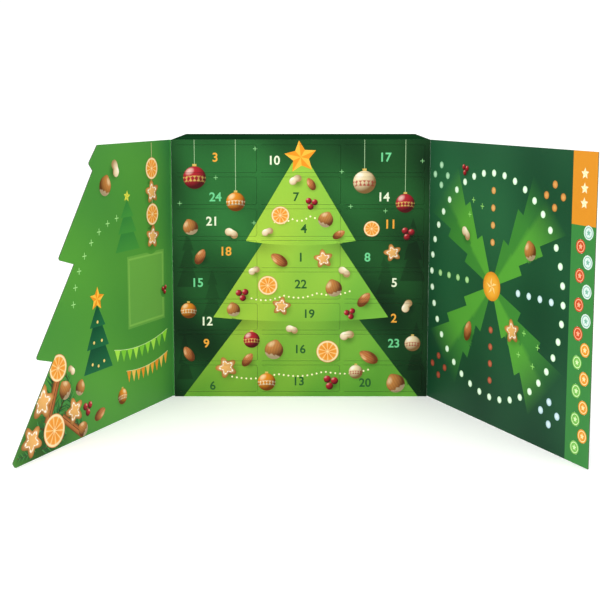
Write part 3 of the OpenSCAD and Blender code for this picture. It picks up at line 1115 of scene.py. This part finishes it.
def wing_shape(s, t):
    """The wing as a grid: s picks a height, t runs from the crease to the outline there."""
    z = levels[np.rint(s * (len(levels) - 1)).astype(int)]
    far = np.interp(z, heights, reaches) - RIM
    return CREASE + (far - CREASE) * t, z


def leaf_ink(u, z):
    """Leaf green with broad slanting folds: painted shade at the crease, deeper at the top, dark at the
    tip.
    """
    folds = 0.16 * np.sin((u - 1.4 * z) / 46) * np.cos((u + z) / 67)
    # The first term of near is painted shade along the crease, where the wing meets the carton; the second
    # darkens the top
    near = 0.5 * np.exp(-((u / 26) ** 2)) + 0.22 * np.clip((z - 250) / 96, 0, 1)
    tone = blend(ink("#559a39"), ink("#2f7239"), 0.22 + near + folds)
    return tone * (1 - 0.74 * glow_at(u, z, (280, 16), (54, 48)))[..., None]


tree_page = [(GROUND, inked(len(levels) - 1, 40, wing_shape, leaf_ink))]
print("outline points:", len(cut_edge), "reach", reaches.max().round(1), "tips at", tips.round(1))

# %% [markdown]
# On it lie a paler bare panel with a thin line inside its rim, and two small firs, each with a star
# on its top. The nearer fir also carries lamps.

# %% Tree wing: panel and firs
PANEL_LOW, PANEL_HIGH = (20, 112), (106, 204)
NEAR_BANDS = [(0.0, 0.5, 0.26, 0.36), (0.36, 0.38, 0.17, 0.68), (0.68, 0.27, 0.02, 1.0)]
FIR_LAMPS = [(160, 84), (172, 80), (184, 84), (164, 110), (180, 110), (172, 134)]
panel_shape = box_shape(PANEL_LOW, PANEL_HIGH)


def panel_tint(s, t):
    """A little paler than the ground, and paler still along a thin line inside the panel's rim."""
    inner = np.minimum(np.minimum(s, 1 - s), np.minimum(t, 1 - t))
    line = (inner > 0.03) & (inner < 0.055)
    return blend(leaf_ink(*panel_shape(s, t)), ink("#86bd55"), 0.36 + 0.44 * line)


def small_fir(at, width, height, light, dark):
    """A fir of three bands, each dark at its top and lighter towards its foot."""
    return fir(at, width, height, NEAR_BANDS, (5, 4),
               lambda s, t, u, z: blend(ink(light), ink(dark), s * 0.8 + 0.3 * t))


tree_page += [
    (SHAPE, patch(80, 80, panel_shape, panel_tint)),
    (SHAPE, small_fir((172, 74), 60, 80, "#1f6a41", "#0f4a32")),
    (MOTIF, place(gold_star(0.48, "#ffbe45", "#ec9022"), (172, 162), 15, 4)),
    (MOTIF, scatter(dot("#f6d27a"), FIR_LAMPS, 1.9)),
    (SHAPE, small_fir((104, 212), 54, 62, "#44913b", "#357f39")),
    (LINE, place(gold_star(0.48, "#e0dc52", "#c3c63f"), (104, 280), 7.5, 8)),
]
print("pictures on the tree wing:", len(tree_page))

# %% [markdown]
# Snow falls in an arc, a chain of dried slices and biscuits hangs beside the crease, and rows of
# pennants hang from strings that sag as a parabola.

# %% Tree wing: snow, chain and pennants
CHAIN_U = 46
CHAIN = [("slice", 311, 14), ("biscuit", 281, 15.5), ("slice", 252, 14), ("biscuit", 223, 15.5)]
LOOSE = [("hazelnut", 150, 296, 12, 20), ("kernel", 128, 316, 12, 70), ("berries", 20, 150, 7, 0),
         ("amber", 122, 30, 10, 0)]
FLAG_GAP, FLAG_DROP = 0.8, 15


def around(middle, radius, start, end, count):
    """Points on an arc: evenly spaced angles from start to end, in degrees."""
    turns = np.radians(np.linspace(start, end, count))
    return np.stack([middle[0] + radius * np.cos(turns), middle[1] + radius * np.sin(turns)], -1)


def pennants(start, end, sag, count, codes):
    """Pointed flags below a string from start to end, whose drop is sag times 4 t (1 - t)."""
    t = np.linspace(0, 1, count + 1)
    u = start[0] + (end[0] - start[0]) * t
    z = start[1] + (end[1] - start[1]) * t - 4 * sag * t * (1 - t)
    left, right = np.stack([u[:-1] + FLAG_GAP, z[:-1]], -1), np.stack([u[1:] - FLAG_GAP, z[1:]], -1)
    tip = (left + right) / 2 - [0, FLAG_DROP]
    flags = facets(np.stack([left, tip, right], 1), [codes[k % len(codes)] for k in range(count)])
    return [(LINE, ribbon(np.stack([u, z], -1), 1.0, "#d8efb0")), (MOTIF, flags)]


tree_page.append((LINE, scatter(sparkle("#a5e08a"), around((112, 148), 108, 8, 82, 8), 4.6)))
tree_page.append((LINE, ribbon([(CHAIN_U, 344), (CHAIN_U, 240)], 0.9, "#d9c48f")))
stamp(tree_page, leaf_ink, [(kind, CHAIN_U, z, size, z) for kind, z, size in CHAIN] + LOOSE)
tree_page += pennants((14, 96), (138, 92), 8, 9, ["#8fd63c", "#7cc63a", "#a6e04e"])
tree_page += pennants((14, 66), (112, 60), 6, 9, ["#eda63a", "#f2c05a", "#e8902c"])
print("pictures on the tree wing:", len(tree_page))

# %% [markdown]
# The heap at the wing's tip is built from the back to the front: twigs first, then sticks, then
# biscuits, slices and nuts. What reaches past the cut edge is trimmed, as the die would do it.

# %% Tree wing: heap
# Heights between which the lowest tier's edge is straight
STRAIGHT = (14.0, 100.0)
TWIGS = [(SHAPE, 268, 26, 74, 96), (SHADE, 258, 26, 62, 58), (LINE, 270, 22, 56, 130),
         (SHAPE, 240, 14, 58, 22), (SHADE, 228, 40, 46, 80), (SHADE, 206, 12, 46, 40),
         (SHADE, 296, 9, 32, 2), (LINE, 284, 8, 40, 176)]
STICKS = [("stick", 262, 62, 58, 24), ("stick", 226, 20, 50, -52)]
HEAP = [("biscuit", 281, 62, 21, 10), ("biscuit", 302, 23, 19, 44), ("slice", 261, 24, 19.5, 12),
        ("slice", 251, 95, 16, 30), ("biscuit", 222, 37, 17, -14), ("hazelnut", 239, 66, 11, -30),
        ("berries", 196, 34, 10, 12), ("almond", 172, 20, 11, 70), ("hazelnut", 210, 62, 9, 24),
        ("kernel", 226, 87, 8, 40), ("hazelnut", 206, 11, 9, -50)]


def trimmed(art):
    """A picture cut along the lowest tier's slanting edge, as the die cuts the printed sheet."""
    foot, top = [cut_edge[np.argmin(np.abs(heights - z))] for z in STRAIGHT]
    edge = (top - foot) / np.linalg.norm(top - foot)
    out = np.array([edge[1], -edge[0]])
    return cut(cut(art, foot - RIM * out, out), (0, wing_low), (0, -1))


for layer, u, z, size, turn in TWIGS:
    tree_page.append((layer, trimmed(place(fir_twig(), (u, z), size, turn - 90))))
for layer, items in ((MOTIF, STICKS), (TOP, HEAP)):
    for kind, u, z, size, turn in items:
        tree_page.append((layer, trimmed(place(MOTIFS[kind], (u, z), size, turn))))
lay("left_wing_print", stacked(tree_page), left_face)
print("triangles on the tree wing:", sum(len(art) for _, art in tree_page))

# %% [markdown]
# ## The game wing
# The right wing is a board for a cross-and-circle game: a ring of forty steps, four home rows that
# run in from it, four yards in the corners and a goal in the middle. Pale arms with a stepped edge
# lie between the home rows. The strip with the counters is inked by the board's own material,
# because a printed mesh would cover the holes.

# %% Game wing: ground and arms
RING = np.array([146.5, 173.5])
RING_R = 138.0
ARM_START, ARM_L = 14.0, 142.0
ARM_STEPS = 3
ARMS = (45, 135, 225, 315)


def night_ink(u, z):
    """Deep green: a little lighter to the upper left, with faint slanting folds."""
    folds = 0.14 * np.sin((u + 0.7 * z) / 31) * np.sin((u - z) / 53)
    glow = glow_at(u, z, (90, 270), (120, 130))
    return blend(ink("#103a25"), ink("#2d6a42"), 0.22 + 0.56 * glow + folds)


def arm_width(s):
    """Half an arm's width at a share s of its length: three steps, each wider than the last."""
    step = np.floor(np.clip(s * ARM_STEPS, 0, ARM_STEPS - 0.001))
    return 7 + 21 * (s * ARM_STEPS - step) + 8 * step


def arm_ink(s, t, u, z):
    """An arm's two leaf greens, one on each side of its middle, fading into the ground outside."""
    leaf = blend(ink("#57a238"), ink("#3a8034"), (t > 0.5) * 0.8 + 0.2 * s)
    return blend(leaf, night_ink(u, z), np.clip((s - 0.55) / 0.45, 0, 1) ** 1.3)


def arm(turn):
    """A pale arm from the goal outwards, in a frame of its own: s along it and t across it."""
    angle = math.radians(turn)

    def shape(s, t):
        reach, side = ARM_START + ARM_L * s, (2 * t - 1) * arm_width(s)
        return (RING[0] + reach * math.cos(angle) - side * math.sin(angle),
                RING[1] + reach * math.sin(angle) + side * math.cos(angle))

    return patch(48, 8, shape, lambda s, t: arm_ink(s, t, *shape(s, t)))


def game_ground(u, z):
    """The ink under a motif on the game wing: an arm's where it lies on one, or else the night's."""
    tone = night_ink(u, z)
    for angle in np.radians(ARMS):
        reach = (u - RING[0]) * math.cos(angle) + (z - RING[1]) * math.sin(angle)
        side = (z - RING[1]) * math.cos(angle) - (u - RING[0]) * math.sin(angle)
        s = (reach - ARM_START) / ARM_L
        on_it = (s > 0) & (s < 1) & (np.abs(side) < arm_width(s))
        tone = np.where(on_it[..., None], arm_ink(s, 0.5 + side / 2 / arm_width(s), u, z), tone)
    return tone


night_ground = (GROUND, inked(44, 40, box_shape((CREASE, wing_low), (TAB_U, wing_high)), night_ink))
game_page = [night_ground] + [(SHAPE, arm(turn)) for turn in ARMS]
print("arms:", len(ARMS))

# %% [markdown]
# Steps, homes and yards are round dots, pale in their middle and deeper at their rim. Each player's
# colour has a home row of four and a yard of four.

# %% Game wing: steps, home rows and yards
STEPS = 40
HOME_PITCH = 21
# The way from the goal, or the yard's place from it, and the two inks of its dots
HOMES = [((0, 1), "#e8b470", "#c98238"), ((1, 0), "#e6f4f4", "#a9cfd2"), ((0, -1), "#c9704f", "#8e3a28"),
         ((-1, 0), "#bfe6a6", "#77b868")]
YARDS = [((-118, 128), "#bfe6c2", "#77b888"), ((118, 120), "#e2a45a", "#b5702e"),
         ((-118, -124), "#b5583f", "#7f3224"), ((118, -128), "#e2f2f6", "#a5cbd6")]
YARD = np.array([(15, 0), (0, 13), (-15, 0), (0, -13)])


def rim_dot(pale, deep, power):
    """A dot that deepens towards its rim, as a power of its radius."""
    return disc(lambda r, angle: blend(ink(pale), ink(deep), r ** power), 3, 18)


ring = around(RING, RING_R, 0, 360 - 360 / STEPS, STEPS)
game_page.append((LINE, scatter(rim_dot("#f4fff2", "#b9e6b4", 3), ring, 4.3)))
for way, pale, deep in HOMES:
    row = RING + np.outer(RING_R - HOME_PITCH * np.arange(1, 5), way)
    game_page.append((LINE, scatter(rim_dot(pale, deep, 2), row, 4.3)))
for off, pale, deep in YARDS:
    game_page.append((LINE, scatter(rim_dot(pale, deep, 2), RING + off + YARD, 4.5)))
print("dots:", STEPS + 4 * len(HOMES) + 4 * len(YARDS))

# %% [markdown]
# A star marks the goal. A few nuts and a biscuit lie on the arms, with twinkles beside them, and
# three stars fill the orange tab above the counters.

# %% Game wing: goal and ornaments
GOAL_R = 18
ON_GAME = [("berries", 84, 312, 8, 0), ("kernel", 88, 232, 11, -40), ("hazelnut", 222, 226, 11, 16),
           ("almond", 96, 108, 13, -20), ("biscuit", 190, 126, 15, 10)]
tab_u = (TAB_U + right_face["reach"]) / 2
goal = disc(lambda r, angle: blend(ink("#f7b23c"), ink("#d98a22"), 1.4 * r ** 4), 6, 40)
game_page.append((LINE, place(goal, RING, GOAL_R)))
game_page.append((MOTIF, place(gold_star(0.5, "#ffd98a", "#f2a63a"), RING, 11)))
stamp(game_page, game_ground, ON_GAME)
for arc in (around((222, 110), 20, 20, 300, 4), around((110, 262), 15, 30, 200, 3)):
    game_page.append((LINE, scatter(sparkle("#9adf72"), arc, 4.0)))
tab_stars = [(tab_u, z) for z in (290, 306, 322)]
game_page.append((LINE, scatter(gold_star(0.5, "#fff1cf", "#ffdf9f"), tab_stars, 6.5)))
lay("right_wing_print", stacked(game_page), right_face)
print("triangles on the game wing:", sum(len(art) for _, art in game_page))

# %% [markdown]
# ## Game counters
# The counters are pressed from the same board as the wing. Each colour is inked like the wing
# itself, by depth, and a thin print with a ring and a star lies on every counter.

# %% Counters
COUNTERS = {
    "counters_red": (("#d9552c", "#bf4524"), "#f6b48c", "red_counter"),
    "counters_white": (("#e6f3ee", "#cfe3dc"), "#7fb8a4", "white_counter"),
    "counters_orange": (("#f2a232", "#e08c22"), "#ffe2a6", "orange_counter"),
    "counters_green": (("#84c85c", "#6cb04a"), "#d8f2b4", "green_counter"),
}
# A step in height above this leads to the next counter of a colour
NEXT_COUNTER = 5
RING_INNER, MARK_R, MARK_STAR = 0.84, 6.4, 3.6


def ring_band(code):
    """A flat ring from an inner radius to 1."""
    def shape(s, t):
        radius = RING_INNER + (1 - RING_INNER) * s
        return radius * np.cos(2 * math.pi * t), radius * np.sin(2 * math.pi * t)
    return patch(1, 28, shape, plain(code))


for node, (inks, mark, slot) in COUNTERS.items():
    dress(board_material("printed board, " + slot.replace("_", " "), right_face, inks, NIGHT_GREEN), node)
    spots = face_spots(node, right_face)
    order = spots[np.argsort(spots[:, 1])]
    groups = np.split(order, np.flatnonzero(np.diff(order[:, 1]) > NEXT_COUNTER) + 1)
    middles = [(group.min(0) + group.max(0)) / 2 for group in groups]
    marks = [(GROUND, scatter(ring_band(mark), middles, MARK_R)),
             (GROUND, scatter(gold_star(0.5, mark, mark), middles, MARK_STAR))]
    lay(node + "_print", stacked(marks), right_face)
    print(node, "counters:", len(groups))

# %% [markdown]
# ## The outside of the wings
# When the wings shut, their backs become the cover. The tree wing's back carries a half tree of
# four tiers with lamps and baubles. Its tiers have no patches of their own: the rows of the wing's
# grid sag, and each tier is an ink that runs along them.

# %% Tree wing: cover
COVER_SAG = 9
COVER_REACH = 280
COVER = [("red", 60, 70, 15), ("amber", 150, 78, 13), ("cream", 240, 60, 14), ("cream", 48, 176, 13),
         ("red", 136, 182, 13), ("amber", 216, 166, 12), ("amber", 60, 286, 12), ("red", 140, 282, 11),
         ("biscuit", 104, 24, 13), ("slice", 196, 28, 13), ("biscuit", 92, 128, 12),
         ("slice", 184, 126, 11), ("biscuit", 98, 236, 11)]


def sag(t, z):
    """How far a tier's edge hangs between the crease and the outline: 9 mm at most, 0 at the outline."""
    return COVER_SAG * (1 - t * t) * np.clip(np.minimum(z - wing_low, wing_high - z) / 30, 0, 1)


def cover_shape(s, t):
    """The wing's grid with sagging rows, so that a tier's edge runs along a row."""
    u, z = wing_shape(s, t)
    return u, z - sag(t, z)


def cover_ink(u, z):
    """The cover's fir green: each tier is bright at its lower edge and dark below the next tier."""
    local = np.full(np.shape(z), 0.5)
    for foot in tips:
        share = (z - foot) / (tips[1] - tips[0])
        local = np.where((share >= 0) & (share < 1), share, local)
    folds = 0.1 * np.sin((u - 1.4 * z) / 33)
    return blend(ink("#5aa53c"), ink("#1d5c31"), 0.05 + 0.85 * local ** 1.5 + folds)


def cover_ground(u, z):
    """The ink under a motif on the cover: the sag is undone first."""
    return cover_ink(u, z + sag(u / COVER_REACH, z))


cover = patch(len(levels) - 1, 60, cover_shape, lambda s, t: cover_ink(*wing_shape(s, t)))
cover_page = [(GROUND, cover)]
# Lamps run in arches 9 mm high across the three lower tiers
for foot in tips[:3]:
    across = np.linspace(14, np.interp(foot + 45, heights, reaches) - 16, 70)
    swag = foot + 34 + 9 * np.abs(np.sin(across / 30)) + across * 0.02
    light_string(cover_page, across, swag, 1.6, 8.5)
stamp(cover_page, cover_ground, COVER)
lay("left_wing_cover", stacked(cover_page), back_of(left_face))
print("cover pictures:", len(cover_page))

# %% [markdown]
# The game wing's back is the snowy wood behind that tree. Snow should look scattered without being
# random: two irrational strides spread the flakes evenly and never line them up.

# %% Game wing: cover
STRIDES = np.array([0.7549, 0.5698])
COVER_FIRS = [(60, 20, 60, 150), (150, 8, 80, 190), (236, 26, 56, 140)]


def snow(low, high, count, start):
    """Sparkles spread over a rectangle: two irrational strides, each kept within 0 to 1."""
    share = (start + np.arange(count)[:, None] * STRIDES) % 1
    spots = np.array(low) + share * (np.array(high) - np.array(low))
    flake = sparkle("#cfeccd")
    return np.concatenate([place(flake, at, 1.8 + k % 4) for k, at in enumerate(spots)])


wood_page = [night_ground]
for u, z, width, height in COVER_FIRS:
    wood_page.append((SHAPE, small_fir((u, z), width, height, "#2c6b43", "#17492f")))
wood_page.append((LINE, snow((24, 24), (TAB_U - 16, wing_high - 16), 46, 0.1)))
lay("right_wing_cover", stacked(wood_page), back_of(right_face))
print("wood pictures:", len(wood_page))

# %% [markdown]
# ## Creases
# A wing is joined to the carton by a crease, where the liner bends and isn't cut. The model keeps a
# small gap there so that the boards can turn. A thin rolled bead of liner fills it: a circle
# carried up the hinge line, just small enough for the wing's edge to pass. Ink cracks along a
# crease, so paler fibre shows on it in short runs.

# %% Wing creases
BEAD_R = 0.38
BEAD_STEPS = 16
CRACK = 6


def bead(name, hinge, low, high):
    """A closed rod: a circle about the hinge at both heights, joined, with a cap on each end."""
    turn = np.linspace(0, 2 * math.pi, BEAD_STEPS, endpoint=False)
    ring = np.stack([hinge[0] + BEAD_R * np.cos(turn), hinge[1] + BEAD_R * np.sin(turn)], -1)
    rings = [np.concatenate([ring, np.full((BEAD_STEPS, 1), z)], -1) for z in (low, high)]
    points = np.concatenate([*rings, [[hinge[0], hinge[1], z] for z in (low, high)]])
    here = np.arange(BEAD_STEPS)
    after = (here + 1) % BEAD_STEPS
    upper, upper_after = here + BEAD_STEPS, after + BEAD_STEPS
    foot, top = np.full(BEAD_STEPS, 2 * BEAD_STEPS), np.full(BEAD_STEPS, 2 * BEAD_STEPS + 1)
    faces = [(here, after, upper_after), (here, upper_after, upper), (after, here, foot),
             (upper, upper_after, top)]
    return make_mesh(name, points * MM, np.concatenate([np.stack(face, -1) for face in faces]), smooth=True)


crease_ink, crease_tree, crease_surface = new_material("creased printed liner")
crease_place = add(crease_tree, "TexCoord", {}).outputs["Object"]
cracks = add(crease_tree, "TexNoise", {"Vector": crease_place, "Scale": 1 / (CRACK * MM), "Detail": 4.0})
worn = add(crease_tree, "MapRange", {0: cracks.outputs[0], 1: 0.55, 2: 0.8, 3: 0.0, 4: 0.5})
crease_tone = add(crease_tree, "Mix", {0: worn.outputs[0], MIX_A: "#1c4a27", MIX_B: "#6d8a66"},
                  data_type="RGBA")
finish_board(crease_tree, crease_surface, crease_place, crease_tone.outputs[MIX_OUT])
for side in ("left", "right"):
    hinge = np.array(joints[side + "_wing_crease"]["pos_m"]) / MM
    made = bead(side + "_crease", hinge, wing_low, wing_high)
    made.data.materials.append(crease_ink)
    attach(made, "carton")
print("bead:", 2 * BEAD_R, "mm across")

# %% [markdown]
# ## The carton
# Outside, the carton is printed with the same wood as the front. Inside it is bare liner, and the
# inside is simply everything within the inner faces of its walls.

# %% Carton board
# The bare inside starts this far into a wall, so that the wall's inner face is bare all over
MARGIN = 0.05
walls = [(X, board_t - half_w - MARGIN), (-X, board_t - half_w - MARGIN), (Z, board_t - MARGIN),
         (-Z, board_t - carton_h - MARGIN), (-Y, board_t - back_y - MARGIN)]
carton_board, carton_tree, carton_surface = new_material("printed fluted board, carton")
carton_place = add(carton_tree, "TexCoord", {}).outputs["Object"]
outer, bare = clouded(carton_tree, carton_place, ("#15401f", "#0a2613"), BARE_LINER)
hollow = over(carton_tree, carton_place, walls)
carton_tone = add(carton_tree, "Mix", {0: hollow, MIX_A: outer, MIX_B: bare}, data_type="RGBA")
# The board itself has no varnish, so the plain top stays dull beside the printed sides
finish_board(carton_tree, carton_surface, carton_place, carton_tone.outputs[MIX_OUT],
             rough=(0.84, 0.96), shine=0.0)
dress(carton_board, "carton")
print("walls:", len(walls))

# %% [markdown]
# The carton's two sides and its back get a page of firs and snow each, laid as the other pages
# are. One fir on each page is lit: it has a star and rows of lamps.

# %% Carton sides
EDGE = 3.0
# Height of a row of lamps and half its width, as shares of the lit fir's height and width
LAMP_ROWS = [(0.15, 0.36), (0.47, 0.26), (0.77, 0.15)]
FIR_INKS = {FAR: ("#1f5a31", "#123f22"), SHAPE: ("#2f7a3c", "#17502b")}
SIDE_FIRS = [(FAR, 52, 24, 70, 210), (SHAPE, 136, 10, 92, 250), (FAR, 176, 30, 34, 110)]
BACK_FIRS = [(FAR, 60, 30, 80, 200), (FAR, 284, 22, 84, 220), (SHAPE, 172, 8, 150, 290)]


def side_ink(u, z):
    """The wood round the sides: lighter at mid height, darker at the foot and the top."""
    glow = np.exp(-(((z - 190) / 130) ** 2))
    folds = 0.12 * np.sin((u + z) / 27) * np.sin((u - z) / 44)
    return blend(ink("#0c2a13"), ink("#2d6a35"), 0.1 + 0.5 * glow + folds)


def lit_fir(page, u, z, wide, high):
    """A star on a fir's top and rows of lamps that sag across it."""
    page.append((MOTIF, place(gold_star(0.5, *STAR_INKS), (u, z + high), 0.12 * wide, 6)))
    for share, half in LAMP_ROWS:
        across = np.linspace(-half, half, 40)
        swag = z + high * (share - 0.03 * np.cos(across / half * 4.7))
        light_string(page, u + across * wide, swag, 1.5, 8)


def wood_side(name, origin, along, outward, width, firs, flakes, start):
    """A side's page: a ground of side_ink, firs of which one is lit, and snow."""
    page = [(GROUND, inked(40, 30, box_shape((EDGE, EDGE), (width - EDGE, carton_h - EDGE)), side_ink))]
    for layer, u, z, wide, high in firs:
        page.append((layer, small_fir((u, z), wide, high, *FIR_INKS[layer])))
        if layer == SHAPE:
            lit_fir(page, u, z, wide, high)
    page.append((LINE, snow((12, 16), (width - 12, carton_h - 16), flakes, start)))
    face = {"origin": origin, "along": along, "outward": outward, "body": "carton"}
    lay(name, stacked(page), face)


depth = back_y - front_y
wood_side("left_side_print", -half_w * X + back_y * Y, -Y, -X, depth, SIDE_FIRS, 26, 0.2)
wood_side("right_side_print", half_w * X + front_y * Y, Y, X, depth, SIDE_FIRS, 26, 0.6)
wood_side("back_print", half_w * X + back_y * Y, -X, Y, carton_w, BACK_FIRS, 44, 0.4)
print("carton sides:", round(depth, 1), "mm deep")

# %% [markdown]
# ## The crate
# The uprights and shelves are greyboard: pulp pressed from waste paper, so it is grey-brown, matt
# and full of small flecks. Two noises at fibre and fleck size give that, and a faint bump.

# %% Greyboard
PULP, FLECK = 9, 3.5
greyboard, grey_tree, grey_surface = new_material("greyboard")
grey_place = add(grey_tree, "TexCoord", {}).outputs["Object"]
pulp = add(grey_tree, "TexNoise", {"Vector": grey_place, "Scale": 1 / (PULP * MM), "Detail": 5.0})
fleck = add(grey_tree, "TexVoronoi", {"Vector": grey_place, "Scale": 1 / (FLECK * MM)})
flecked = add(grey_tree, "Math", {0: fleck.outputs["Distance"], 1: 0.16}, operation="LESS_THAN")
grey = add(grey_tree, "Mix", {0: pulp.outputs[0], MIX_A: "#8f8577", MIX_B: "#bcb2a2"}, data_type="RGBA")
grey = add(grey_tree, "Mix", {0: flecked.outputs[0], MIX_A: grey.outputs[MIX_OUT], MIX_B: "#7b6f60"},
           data_type="RGBA")
grey_bump = add(grey_tree, "Bump", {"Height": pulp.outputs[0], "Strength": 0.15, "Distance": 0.2 * MM})
feed(grey_surface, {"Base Color": grey.outputs[MIX_OUT], "Normal": grey_bump.outputs[0],
                    "Roughness": 0.88, "IOR": 1.45})
uprights = ["upright_left", "upright_right"]
shelves = [f"shelf_{level}" for level in range(1, ROWS)]
dress(greyboard, *uprights, *shelves)
print("dividers:", len(uprights + shelves))

# %% [markdown]
# ## Snack packs
# Behind each door lies a pack of sealed film: a pillow pouch of nuts, a stand-up sachet of dried
# fruit, or a flow-wrapped bar. Film is one sheet folded to a tube and crimped flat at its ends, so
# each pack is a closed cross-section carried along its length. The section is a superellipse that
# swells from nothing at a seal, and small folds run out from the seals.

# %% Pack shapes
AROUND = 80
ALONG = 46
# The share of the length in a seal, the powers of the section's width and height, and how far a
# full pack pulls its sides in
FORMS = {"pouch": (0.07, 0.62, 0.95, 0.07), "sachet": (0.12, 0.6, 0.9, 0.05),
         "bar": (0.075, 0.34, 0.5, 0.0)}
FOLD = 0.05
CRIMP, CRIMP_PITCH = 0.018, 2.2
SEALED = 0.01


def swell(kind, t):
    """How full a pack is along its length: 0 in the seals, 1 where it is fullest."""
    seal = FORMS[kind][0]
    inner = np.clip((t - seal) / (1 - 2 * seal), 0, 1)
    if kind == "pouch":
        return np.sin(math.pi * inner) ** 0.62
    if kind == "bar":
        return np.clip(np.minimum(inner, 1 - inner) / 0.075, 0, 1) ** 0.6
    late = np.clip((t - seal) / (0.97 - seal), 0, 1)
    return late ** 0.8 * np.clip((1 - t) / 0.05, 0, 1) ** 0.5


def pack_points(kind, low, high):
    """A pack in its box: x and z are a superellipse about the middle of its height, y its length."""
    width, length, height = high - low
    _, wide_power, high_power, pull = FORMS[kind]
    t = np.linspace(0, 1, ALONG)[:, None]
    turn = np.linspace(0, 2 * math.pi, AROUND, endpoint=False)[None, :]
    full = swell(kind, t)
    across = np.sign(np.cos(turn)) * np.abs(np.cos(turn)) ** wide_power
    rise = np.sign(np.sin(turn)) * np.abs(np.sin(turn)) ** high_power
    folds = FOLD * 4 * full * (1 - full) * np.sin(19 * across + 5 * np.sin(4 * across))
    crimp = CRIMP * (full < SEALED) * np.sin(2 * math.pi * t * length / CRIMP_PITCH)
    half = np.maximum(full * (1 + folds), 0.02) * 0.5
    lift = 0.5 * np.maximum(full, 0.05) if kind != "bar" else 0.5
    x = low[0] + width * (0.5 + 0.5 * across * (1 - pull * full))
    y = low[1] + length * t + 0 * turn
    z = low[2] + height * np.clip(lift + half * rise + crimp, 0.004, 1)
    return np.stack([x, y, z], -1), full


print("a pack has", ALONG * AROUND, "points")

# %% [markdown]
# The plain packs of the model say where each pack lies. Packs of one kind share a node, so its
# vertices are sorted into the cells between the dividers. A tube's faces run round it, and each
# flat end is closed by quads from one half of its ring to the other.

# %% Pack places and faces
upright_x = sorted(corners(name)[0][0] for name in uprights)
shelf_z = sorted(corners(name)[0][2] for name in shelves)


def pack_boxes(node):
    """One box for each pack of a node: its vertices, sorted into the cells between the dividers."""
    spots = vertices(node)
    cells = np.stack([np.searchsorted(upright_x, spots[:, 0]), np.searchsorted(shelf_z, spots[:, 2])], -1)
    groups = [spots[(cells == cell).all(1)] for cell in np.unique(cells, axis=0)]
    return [(group.min(0), group.max(0)) for group in groups]


def tube_faces(rows, columns):
    """Faces of a closed tube of rows by columns points, facing out, with both its ends."""
    here = np.arange(rows - 1)[:, None] * columns + np.arange(columns)
    after = np.arange(rows - 1)[:, None] * columns + (np.arange(columns) + 1) % columns
    wall = np.stack([here + columns, after + columns, after, here], -1).reshape(-1, 4)
    half = np.arange(columns // 2 - 1)
    end = np.stack([columns - 1 - half, columns - 2 - half, half + 1, half], -1)
    return np.concatenate([wall, end, end[:, ::-1] + (rows - 1) * columns])


print("faces of a pack:", len(tube_faces(ALONG, AROUND)))

# %% [markdown]
# The film's inks follow the pack: bare metallised film in the seals, then bands and dots on the
# body. They go into the same kind of colour attribute, and the film itself is glossy with fine
# crinkles. Film for food is printed on its inside, so it has no texture but its folds.

# %% Film
CRINKLE = 7
film, film_tree, film_surface = new_material("printed metallised film")
film_colour = add(film_tree, "Attribute", {}, attribute_name="ink")
film_place = add(film_tree, "TexCoord", {}).outputs["Object"]
crinkle = add(film_tree, "TexNoise", {"Vector": film_place, "Scale": 1 / (CRINKLE * MM), "Detail": 2.0,
                                      "Distortion": 0.8})
film_bump = add(film_tree, "Bump", {"Height": crinkle.outputs[0], "Strength": 0.35, "Distance": 0.8 * MM})
film_gloss = add(film_tree, "MapRange", {0: crinkle.outputs[0], 3: 0.18, 4: 0.34})
feed(film_surface, {"Base Color": film_colour.outputs["Color"], "Normal": film_bump.outputs[0],
                    "Roughness": film_gloss.outputs[0], "IOR": 1.5, "Metallic": 0.15})


def pack_inks(points, full, low, high, codes):
    """Inks of a pack by place: silver seals, a body ink, two pale bands and rows of dots."""
    base, pale, mark = [ink(code) for code in codes]
    across, along = np.moveaxis((points - low) / (high - low), -1, 0)[:2]
    from_middle = np.abs(along - 0.5)
    tone = blend(np.broadcast_to(base, points.shape), pale, (np.abs(from_middle - 0.33) < 0.035) * 1.0)
    dots = np.cos(across * 8 * math.pi) * np.cos(along * 9 * math.pi) > 0.55
    tone = blend(tone, mark, (dots & (from_middle < 0.26)) * 1.0)
    return blend(tone, ink("#c9ccce"), (full < SEALED) * np.ones(points.shape[:2]))


print("film crinkles:", CRINKLE, "mm")

# %% [markdown]
# All packs of a kind become one piece, which stands for the plain packs of its node and rides with
# the carton.

# %% Packs
PACKS = {
    "nut_pouches": ("pouch", "filled_nut_pouches", "pouch_film", ("#c8622f", "#f2d8a4", "#8c3a1c")),
    "fruit_sachets": ("sachet", "filled_fruit_sachets", "sachet_film", ("#dfa23c", "#fbf0cf", "#b8402f")),
    "snack_bars": ("bar", "wrapped_snack_bars", "bar_wrap", ("#8a5230", "#f3e3c3", "#e0a13a")),
}
for node, (kind, name, slot, codes) in PACKS.items():
    points, inks, faces = [], [], []
    for count, (low, high) in enumerate(pack_boxes(node)):
        spots, full = pack_points(kind, low, high)
        points.append(spots.reshape(-1, 3))
        inks.append(pack_inks(spots, full, low, high, codes).reshape(-1, 3))
        faces.append(tube_faces(ALONG, AROUND) + count * ALONG * AROUND)
    made = make_mesh(name, np.concatenate(points) * MM, np.concatenate(faces), smooth=True)
    set_inks(made, np.concatenate(inks))
    made.data.materials.append(film)
    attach(made, "carton")
    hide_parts(node)
    print(name, "packs:", len(points), "faces:", len(made.data.polygons))
